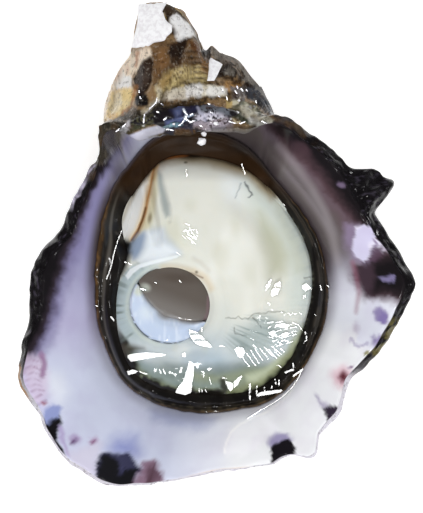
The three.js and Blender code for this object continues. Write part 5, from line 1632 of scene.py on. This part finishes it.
# Short ripples of one width, from their start to their end: two fields of them at the right, a few
# elsewhere.
COMB = [
    [(-4.1, 14.7), (-3.4, 13.5)], [(-3.2, 15), (-2.6, 13.7)], [(-3.7, 13), (-2.6, 12.3)],
    [(-2.4, 13.5), (-1.7, 12.5)], [(-2.9, 12), (-1.9, 11.6)], [(-1.9, 14.5), (-1.5, 13.8)],
    [(-4, 27.2), (-3.8, 25.8)], [(-6, 9.8), (-5, 9.2)], [(-4.3, 15.9), (-3.2, 15.5)],
    [(13.1, -5), (14.3, -4.7)], [(14.8, -4.9), (16.3, -4.6)], [(16.9, -4.8), (18.1, -5.3)],
    [(13.1, -6.1), (13.9, -5.5)], [(14.6, -5.8), (15.6, -5.4)], [(16.1, -5.8), (17.3, -6.1)],
    [(17.8, -6.1), (19.1, -5.8)], [(13.3, -6.8), (14.1, -7.3)], [(14.8, -6.8), (15.9, -6.4)],
    [(16.6, -6.8), (17.6, -7.1)], [(18.3, -6.8), (19.3, -6.8)], [(13.1, -7.8), (14.3, -8.1)],
    [(14.8, -7.8), (16.1, -7.5)], [(16.8, -7.9), (17.9, -7.6)], [(18.4, -7.7), (19.1, -7.3)],
    [(14.1, -8.8), (15.1, -8.5)], [(15.8, -8.8), (16.9, -8.5)], [(14.9, -9.8), (16.4, -9.4)],
    [(17.1, -9.3), (18.4, -8.8)], [(15.8, -2.7), (16.1, -2.8)], [(17.2, -2.9), (17.6, -2.9)],
    [(18.7, -3.1), (19.1, -3)], [(19.8, -2.9), (20.2, -3.1)], [(7.7, -12), (9.3, -14.1)],
    [(8.6, -11.2), (10.6, -13.9)], [(9.5, -10.6), (11.3, -13.4)], [(10.4, -10.3), (12.1, -12.8)],
    [(10.1, -9.5), (10.9, -10.6)], [(11.5, -10.2), (13.3, -12.6)], [(12.3, -9.9), (14.2, -12)],
    [(13.3, -10.4), (15, -12.4)], [(14, -9.8), (16, -11.6)], [(14.6, -10.9), (15.6, -12)],
    [(15.8, -10.3), (16.6, -11)], [(15.2, -13.7), (16, -14.3)], [(14.2, -7.1), (15.6, -7.9)],
    [(16.4, -8.5), (17.7, -9.1)], [(15, -8.7), (16.2, -9.5)], [(18, -6.8), (18.9, -7.5)],
]


def lozenges(path, width):
    """Outlines of the straight pieces of a line, each pointed at both ends and about a millimetre long."""
    run = running_length(path)
    even = np.linspace(0, run[-1], max(len(path), int(np.ceil(run[-1] / PIECE_LENGTH)) + 1))
    path = np.stack([np.interp(even, run, np.array(path)[:, k]) for k in (0, 1)], axis=1)
    for a, b in zip(path[:-1], path[1:]):
        along = (b - a) / np.hypot(*(b - a))
        side = 0.38 * width * np.array((along[1], -along[0]))
        yield [a - 0.3 * width * along, a + side, b + side, b + 0.3 * width * along, b - side, a - side]


def bands(outline, height):
    """An outline, drawn in by a fourteenth, cut across into bands of at most the height. Each band has four
    corners to a side, where its levels cross the outline, and laps a little over the next band."""
    steps, lap, hair = 3, 0.14, 1e-4
    a = np.mean(outline, axis=0) + 0.93 * (np.array(outline) - np.mean(outline, axis=0))
    b = np.roll(a, -1, axis=0)
    count = steps * int(np.ceil(np.ptp(a[:, 1]) / height))
    levels = np.linspace(a[:, 1].min() + hair, a[:, 1].max() - hair, count + 1)
    rise = np.where(a[:, 1] == b[:, 1], 1e-9, b[:, 1] - a[:, 1])
    share = (levels[:, None] - a[:, 1]) / rise
    cross = a[:, 0] + share * (b[:, 0] - a[:, 0])
    hit = (share >= 0) & (share <= 1)
    first, last = np.where(hit, cross, 99).min(axis=1), np.where(hit, cross, -99).max(axis=1)
    for k in range(0, count, steps):
        part = slice(k, k + steps + 1)
        heights = levels[part] + np.array((0, 0, 0, lap * (k + steps < count)))
        yield [*zip(first[part], heights), *zip(last[part][::-1], heights[::-1])]


def wet_ground(x, y):
    """The height of what the liquor lies on: the flesh, the cut muscle, the mantle or the nacre."""
    bearing = bearing_of(x, y)
    reach, inner, edge = np.hypot(x, y), body_reach(bearing) + CLEARANCE, mantle_reach(bearing)
    outward = (reach - inner) / (edge - inner)
    beyond = np.where(outward < 1, mantle_top(x, y, np.clip(outward, 0, 1), edge, bearing), cup_height(x, y))
    flesh = np.where(outward < 0, flesh_top(x, y) + body_relief(x, y), beyond)
    return np.where(muscle_share(x, y) < 1, MUSCLE_TOP - 0.3, flesh)


def liquor_surface(outlines, columns, ground_at):
    """One wedge for each outline. Its top is a plane whose normal lies halfway between the ways from its
    middle to the low window and to the eye, raised until it clears what is under it; its sides and
    underside are closed."""
    edges = np.array([spread_round(outline, columns) for outline in outlines])
    edge = edges.transpose(1, 0, 2)[:, :, None, :]
    middle = edge.mean(axis=3, keepdims=True)
    top_rings, under_rings = (0, 0.5, 0.9, 0.97, 1), (1, 0.66, 0.33, 0)
    across = np.array(top_rings + under_rings)[:, None]
    x, y = middle + (edge - middle) * across
    ground = ground_at(x, y)
    centre = np.stack([*middle, ground[:, :1, :1]], axis=-1)
    ways = LOW_WINDOW - centre, EYE - centre
    normal = sum(way / np.linalg.norm(way, axis=-1, keepdims=True) for way in ways)
    plane = -(normal[..., 0] * (x - middle[0]) + normal[..., 1] * (y - middle[1])) / normal[..., 2]
    lift = (ground - plane).max(axis=(1, 2), keepdims=True) + 0.03
    on_top = (np.arange(len(across)) < len(top_rings))[:, None]
    return x, y, np.where(on_top, plane + lift, ground - 0.15)


outlines = [piece for outline in RIPPLES for piece in bands(outline, BAND_HEIGHT)]
outlines += [piece for path, width in STREAKS for piece in lozenges(path, width)]
outlines += [piece for path in COMB for piece in lozenges(path, COMB_WIDTH)]
grid = liquor_surface(outlines, 28, wet_ground)
pale = mix(colour(60, 58, 56), colour(224, 228, 238), ramp(grid[1], -22.4, -23.4)[..., None])
on_body = (body_share(*grid[:2]) < 1)[..., None]
liquor = solid("liquor_ripples", *grid, True, {"paint": np.where(on_body, body_paint(*grid[:2]), pale)})
liquor.data.materials.append(wet_flesh("liquor", roughness=0.2, glow=0.0, ripple=0.0))
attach(liquor, "root")
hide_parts("body")

# --- The ligament -----------------------------------------------------------------------------------------
# The torn horny strip that hinged the two valves, left as wet blue-black lumps along the hinge lip, with
# lavender crystals in its right half, painted white-blue highlights and a pale line across it.

STRIP_ENDS = (113.0, 80.0)  # bearings
STRIP_OUT = 3.3  # how far its middle line lies outside the lip
STRIP_HALF = 2.1
STRIP_HEIGHT = 1.7


def ligament_surface(stations, loop):
    """A half-round strip along the lip whose height and width swell into lumps."""
    share = np.linspace(0, 1, stations)
    bearing = mix(*STRIP_ENDS, share)
    lumps = 0.7 + 0.6 * np.abs(noise(share * 11, 1.5, 6.5))
    plump = np.sin(np.pi * share) ** 0.4 * lumps
    angle = np.arange(loop) / loop * 2 * np.pi
    ragged = 1 + 0.3 * noise(share[:, None] * 26, 2 * np.sin(angle), 4.5)
    reach = (lip_reach(bearing) + STRIP_OUT)[:, None] + STRIP_HALF * plump[:, None] * np.cos(angle) * ragged
    x, y = at(bearing[:, None], reach)
    bed = read_height(beak_table, BEAK_REACHES, x, y) + CLEARANCE
    knobs = 1.3 * crags(x, y, 1.5, 1.9, 3) - 0.5
    lift = np.maximum(0, np.sin(angle)) * plump[:, None] * (STRIP_HEIGHT + knobs)
    return x, y, bed + lift


def ligament_paint(x, y):
    """Blue-black, with an olive end on the left, a blue sheen, a brown lump, lavender crystals, painted
    white-blue highlights and a pale line."""
    u, v = wander(x, y, 1.2, 0.3)
    flecks = specks(x, y)
    coats = [
        ((74, 72, 52), area(u, v, [
            (-17.1, 36), (-14.1, 38.1), (-10.8, 38.1), (-10.8, 35.6), (-14.6, 34.3), (-17.1, 34.3),
        ], 0.5) * ramp(flecks, -0.6, 0.4)),
        ((36, 36, 60), area(u, v, [
            (-7, 40.4), (-1.9, 40.8), (-1.1, 38.9), (-3.6, 37.7), (-6.1, 37.3), (-7.2, 38.9),
        ], 0.6) * 0.9),
        ((80, 88, 124), area(u, v, [(-6.5, 39.8), (-4.4, 40.2), (-4.9, 38.1), (-6.1, 37.5)], 0.5) * 0.8),
        ((104, 116, 164), area(u, v, [
            (-8, 36.8), (-4.9, 37.5), (-3.6, 36.4), (-4.9, 35.4), (-7.8, 35.4),
        ], 0.5) * 0.8),
        ((60, 42, 36), area(u, v, [(-0.6, 41.1), (2.3, 41.6), (3.1, 40.6), (2.3, 39.4), (-0.2, 39.4)], 0.5)),
        ((96, 100, 108), area(u, v, [
            (-0.6, 40.2), (4.6, 40.2), (5.2, 38), (2, 37.8), (-1.6, 38.6),
        ], 0.4) * ramp(flecks, -0.6, 0.2)),
        ((202, 198, 214), area(u, v, [
            (-2.3, 37.4), (-1.1, 38.4), (1.3, 38.6), (3.4, 37.9), (5.3, 37.0), (4.8, 34.7), (2.3, 33.9),
            (-1.1, 34.7),
        ], 0.7) * ramp(flecks, -0.7, 0.1)),
        ((244, 242, 248), area(u, v, [
            (0.2, 37.4), (2.3, 37.6), (4.4, 37.1), (4.4, 35.6), (2.3, 34.7), (0.6, 36.4),
        ], 0.9) * ramp(flecks, -0.3, 0.5)),
        # Painted white-blue highlights where the liquor on the strip shines, then a pale line.
        ((216, 228, 242), stroke(x, y, [
            (-4.4, 39.2), (-3.8, 38.1), (-4.1, 37.3), (-2.8, 36.4), (-2.1, 36.8),
        ], 0.4)),
        ((200, 214, 234), stroke(x, y, [(-3.9, 37.5), (-4.6, 36.4), (-5.5, 35.9)], 0.35)),
        ((190, 204, 226), stroke(x, y, [(-3.4, 37.7), (-2.5, 38.1)], 0.35) * 0.9),
        ((170, 170, 190), stroke(u, v, [(-1.7, 39.4), (-0.4, 38.1), (0.2, 36.4)], 0.5) * 0.6),
    ]
    return layered(colour(22, 18, 22), coats)


grid = ligament_surface(260, 64)
ligament = solid("ligament_strip", *grid, True, {"paint": ligament_paint(*grid[:2])})
wet_strip = wet_flesh("wet_ligament", roughness=0.3, glow=0.0, ripple=0.6, ripple_size=0.8)
ligament.data.materials.append(wet_strip)
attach(ligament, "root")
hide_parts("ligament")

# --- The drops on the lip ---------------------------------------------------------------------------------
# Liquor also stands in small ripples on the lumps by the hinge: on the ligament, in the cracks beside it
# and on the foot of the beak. They are cut and tilted as those on the flesh are.

# Lines of small ripples and how wide each is.
LIP_STREAKS = [
    ([(-4.4, 38.9), (-3.7, 38.1), (-4.1, 37.3), (-2.8, 36.4), (-2.2, 36.8)], 0.4),
    ([(-3.9, 37.5), (-4.8, 36.3), (-5.5, 35.9)], 0.3), ([(-3.1, 38), (-2.5, 38.3)], 0.3),
    ([(-9.9, 41.6), (-10.1, 40.5), (-11.5, 39.3)], 0.3), ([(-12.4, 38.1), (-12.6, 36.4)], 0.35),
    ([(-9, 40.4), (-8.6, 40.1)], 0.35), ([(-9.9, 38.7), (-9.4, 38.4)], 0.4),
    ([(-8.5, 37), (-7.9, 37.4)], 0.4), ([(-10.3, 37.7), (-9.9, 37.5)], 0.3),
    ([(7.4, 43.7), (7.9, 43.2)], 0.4), ([(6.6, 44.3), (6.8, 43.7)], 0.3), ([(6.2, 43.2), (6.6, 42.7)], 0.35),
    ([(8.5, 43.6), (8.8, 43.2)], 0.3), ([(10.5, 41.2), (10.7, 40.8)], 0.3),
    ([(10.1, 40.2), (10.4, 40)], 0.3), ([(4.9, 36.9), (6, 36.4), (7.2, 36.3), (8.3, 36.7)], 0.28),
    ([(2.8, 41.9), (3.1, 41.7)], 0.3), ([(3.5, 43.5), (3.7, 42.9)], 0.3), ([(0.6, 40.4), (1.1, 40.2)], 0.3),
    ([(9.2, 40), (9.6, 39.6)], 0.3), ([(4.4, 41.9), (4.6, 41.2)], 0.3),
    ([(-13.4, 41.9), (-13.2, 41.4)], 0.3), ([(-13.6, 43.2), (-13.5, 42.7)], 0.25),
    ([(1, 38.7), (1.5, 38.4)], 0.3), ([(-1.1, 36), (-0.6, 35.7)], 0.3), ([(2.3, 36.4), (2.8, 36.2)], 0.3),
    ([(11.6, 36.8), (12.6, 36.4)], 0.3), ([(-18.3, 34.7), (-17.7, 35.2)], 0.4),
    ([(-16.9, 35.6), (-16.4, 36.1)], 0.35), ([(-8, 35.2), (-6.5, 34.9)], 0.35),
]


def lip_ground(x, y):
    """The height of the lumps by the hinge: the beak with the ligament's half-round strip on it."""
    bearing = bearing_of(x, y)
    aside = (np.hypot(x, y) - lip_reach(bearing) - STRIP_OUT) / STRIP_HALF
    strip = np.sqrt(np.clip(1 - aside**2, 0, 1)) * ramp(bearing, 80, 84) * (1 - ramp(bearing, 110, 113))
    return beak_height(x, y) + STRIP_HEIGHT * strip


outlines = [piece for path, width in LIP_STREAKS for piece in lozenges(path, width)]
grid = liquor_surface(outlines, 20, lip_ground)
drops = solid("lip_drops", *grid, True, {"paint": colour(150, 150, 160)})
drops.data.materials.append(wet_flesh("lip_liquor", roughness=0.2, glow=0.0, ripple=0.0))
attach(drops, "root")
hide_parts("ligament")

# --- The crumbs -------------------------------------------------------------------------------------------
# Chalk-white crumbs of shell that the knife broke off: they lie in the ligament and at the foot of the
# beak, and two larger ones make the chip that hangs from the lip.

CRUMBS = np.array([  # x, y and size of each
    (0.4, 37.0, 0.45), (2.2, 36.4, 0.5), (3.4, 37.6, 0.4), (1.4, 38.4, 0.35), (4.4, 36.2, 0.4),
    (5.4, 37.4, 0.3), (6.6, 38.6, 0.4), (-6.4, 36.2, 0.3), (-12.2, 37.0, 0.5), (7.0, 41.2, 0.3),
    (-0.2, 34.2, 0.6), (-0.6, 32.7, 0.95),
])


def crumb_surface(crumbs, columns, rows):
    """One small ragged lump for each row of crumbs: a flattened ball whose reach varies with its
    direction."""
    around = 2 * np.pi * np.arange(columns) / columns
    tilt = np.pi * np.linspace(0, 1, rows)[:, None]
    place_x, place_y, size = [crumbs[:, k, None, None] for k in range(3)]
    east, north, up = np.sin(tilt) * np.cos(around), np.sin(tilt) * np.sin(around), np.cos(tilt) + 0 * around
    ragged = 1 + 0.45 * noise(1.7 * east + place_x * 3.1, 1.7 * north + place_y * 1.7, 1.7 * up)
    x, y = place_x + size * ragged * east, place_y + size * 0.8 * ragged * north
    return x, y, beak_height(place_x, place_y) + 0.3 * size + 0.7 * size * ragged * up


crumbs = solid("shell_crumbs", *crumb_surface(CRUMBS, 14, 9), True)
crumbs.data.materials.append(chalk)
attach(crumbs, "root")
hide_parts("ligament")

# --- Floor, light and camera ------------------------------------------------------------------------------
# A plain white table, a large soft light on the hinge's side so that the lip shades its cavity, low fill
# lights from the other sides, small window-like lights that the liquor mirrors, and a camera straight above
# the cup with the beak at the top of the picture.


def lamp(name, place, target, width, height, watts):
    """A rectangular light at a place, turned to face a target, both in millimetres."""
    made = bpy.data.objects.new(name, bpy.data.lights.new(name, "AREA"))
    made.data.shape = "RECTANGLE"
    made.data.size = width * MM
    made.data.size_y = height * MM
    made.data.energy = watts
    made.location = Vector(place) * MM
    made.rotation_euler = (Vector(target) - Vector(place)).to_track_quat("-Z", "Y").to_euler()
    bpy.context.scene.collection.objects.link(made)
    return made


TABLE_HALF = 900
around = np.array([[0], [TABLE_HALF], [TABLE_HALF], [0]])  # its rows: middle, edge, edge underneath, middle
underneath = np.repeat([[-0.02], [-0.02], [-5.0], [-5.0]], 4, axis=1)
floor = solid("floor", around * [-1.0, 1, 1, -1], around * [-1.0, -1, 1, 1], underneath, True)
floor_material, floor_tree = new_material("pale_table")
finish(floor_material, Base_Color=(1, 1, 1, 1), Roughness=0.9, Emission_Color=(1, 1, 1, 1),
       Emission_Strength=0.4)
floor.data.materials.append(floor_material)

main_light = lamp("key", (-30, 190, 640), (0, 5, 15), 800, 600, 3.2)
fills = [lamp("fill_" + name, place, (0, 0, 15), 500, 360, 0.8) for name, place in (
    ("left", (-560, 60, 260)), ("right", (560, 60, 260)), ("front", (0, -560, 260)),
)]
for soft_light in [main_light] + fills:
    soft_light.visible_glossy = False  # the liquor mirrors only the small windows and the room
lamp("low_window", LOW_WINDOW, (0, -5, 15), 34, 56, 0.38)
lamp("right_window", (230, -110, 300), (0, -5, 15), 30, 46, 0.15)

world = bpy.data.worlds.new("soft_room")
world.use_nodes = True
world.node_tree.nodes["Background"].inputs["Color"].default_value = (1, 1, 1, 1)
world.node_tree.nodes["Background"].inputs["Strength"].default_value = 0.12
bpy.context.scene.world = world
bpy.context.scene.view_settings.view_transform = "Standard"

FRAME_MM = 105.7806  # how much of the plane of the margin the camera sees from top to bottom
CAMERA_HEIGHT = 500  # above that plane
SENSOR_MM = 24
camera = bpy.data.objects.new("camera", bpy.data.cameras.new("camera"))
camera.location = Vector((1.34, 8.97, RIM_HEIGHT + CAMERA_HEIGHT)) * MM
camera.data.sensor_fit = "VERTICAL"
camera.data.sensor_height = SENSOR_MM
camera.data.lens = SENSOR_MM * CAMERA_HEIGHT / FRAME_MM
bpy.context.scene.collection.objects.link(camera)
bpy.context.scene.camera = camera
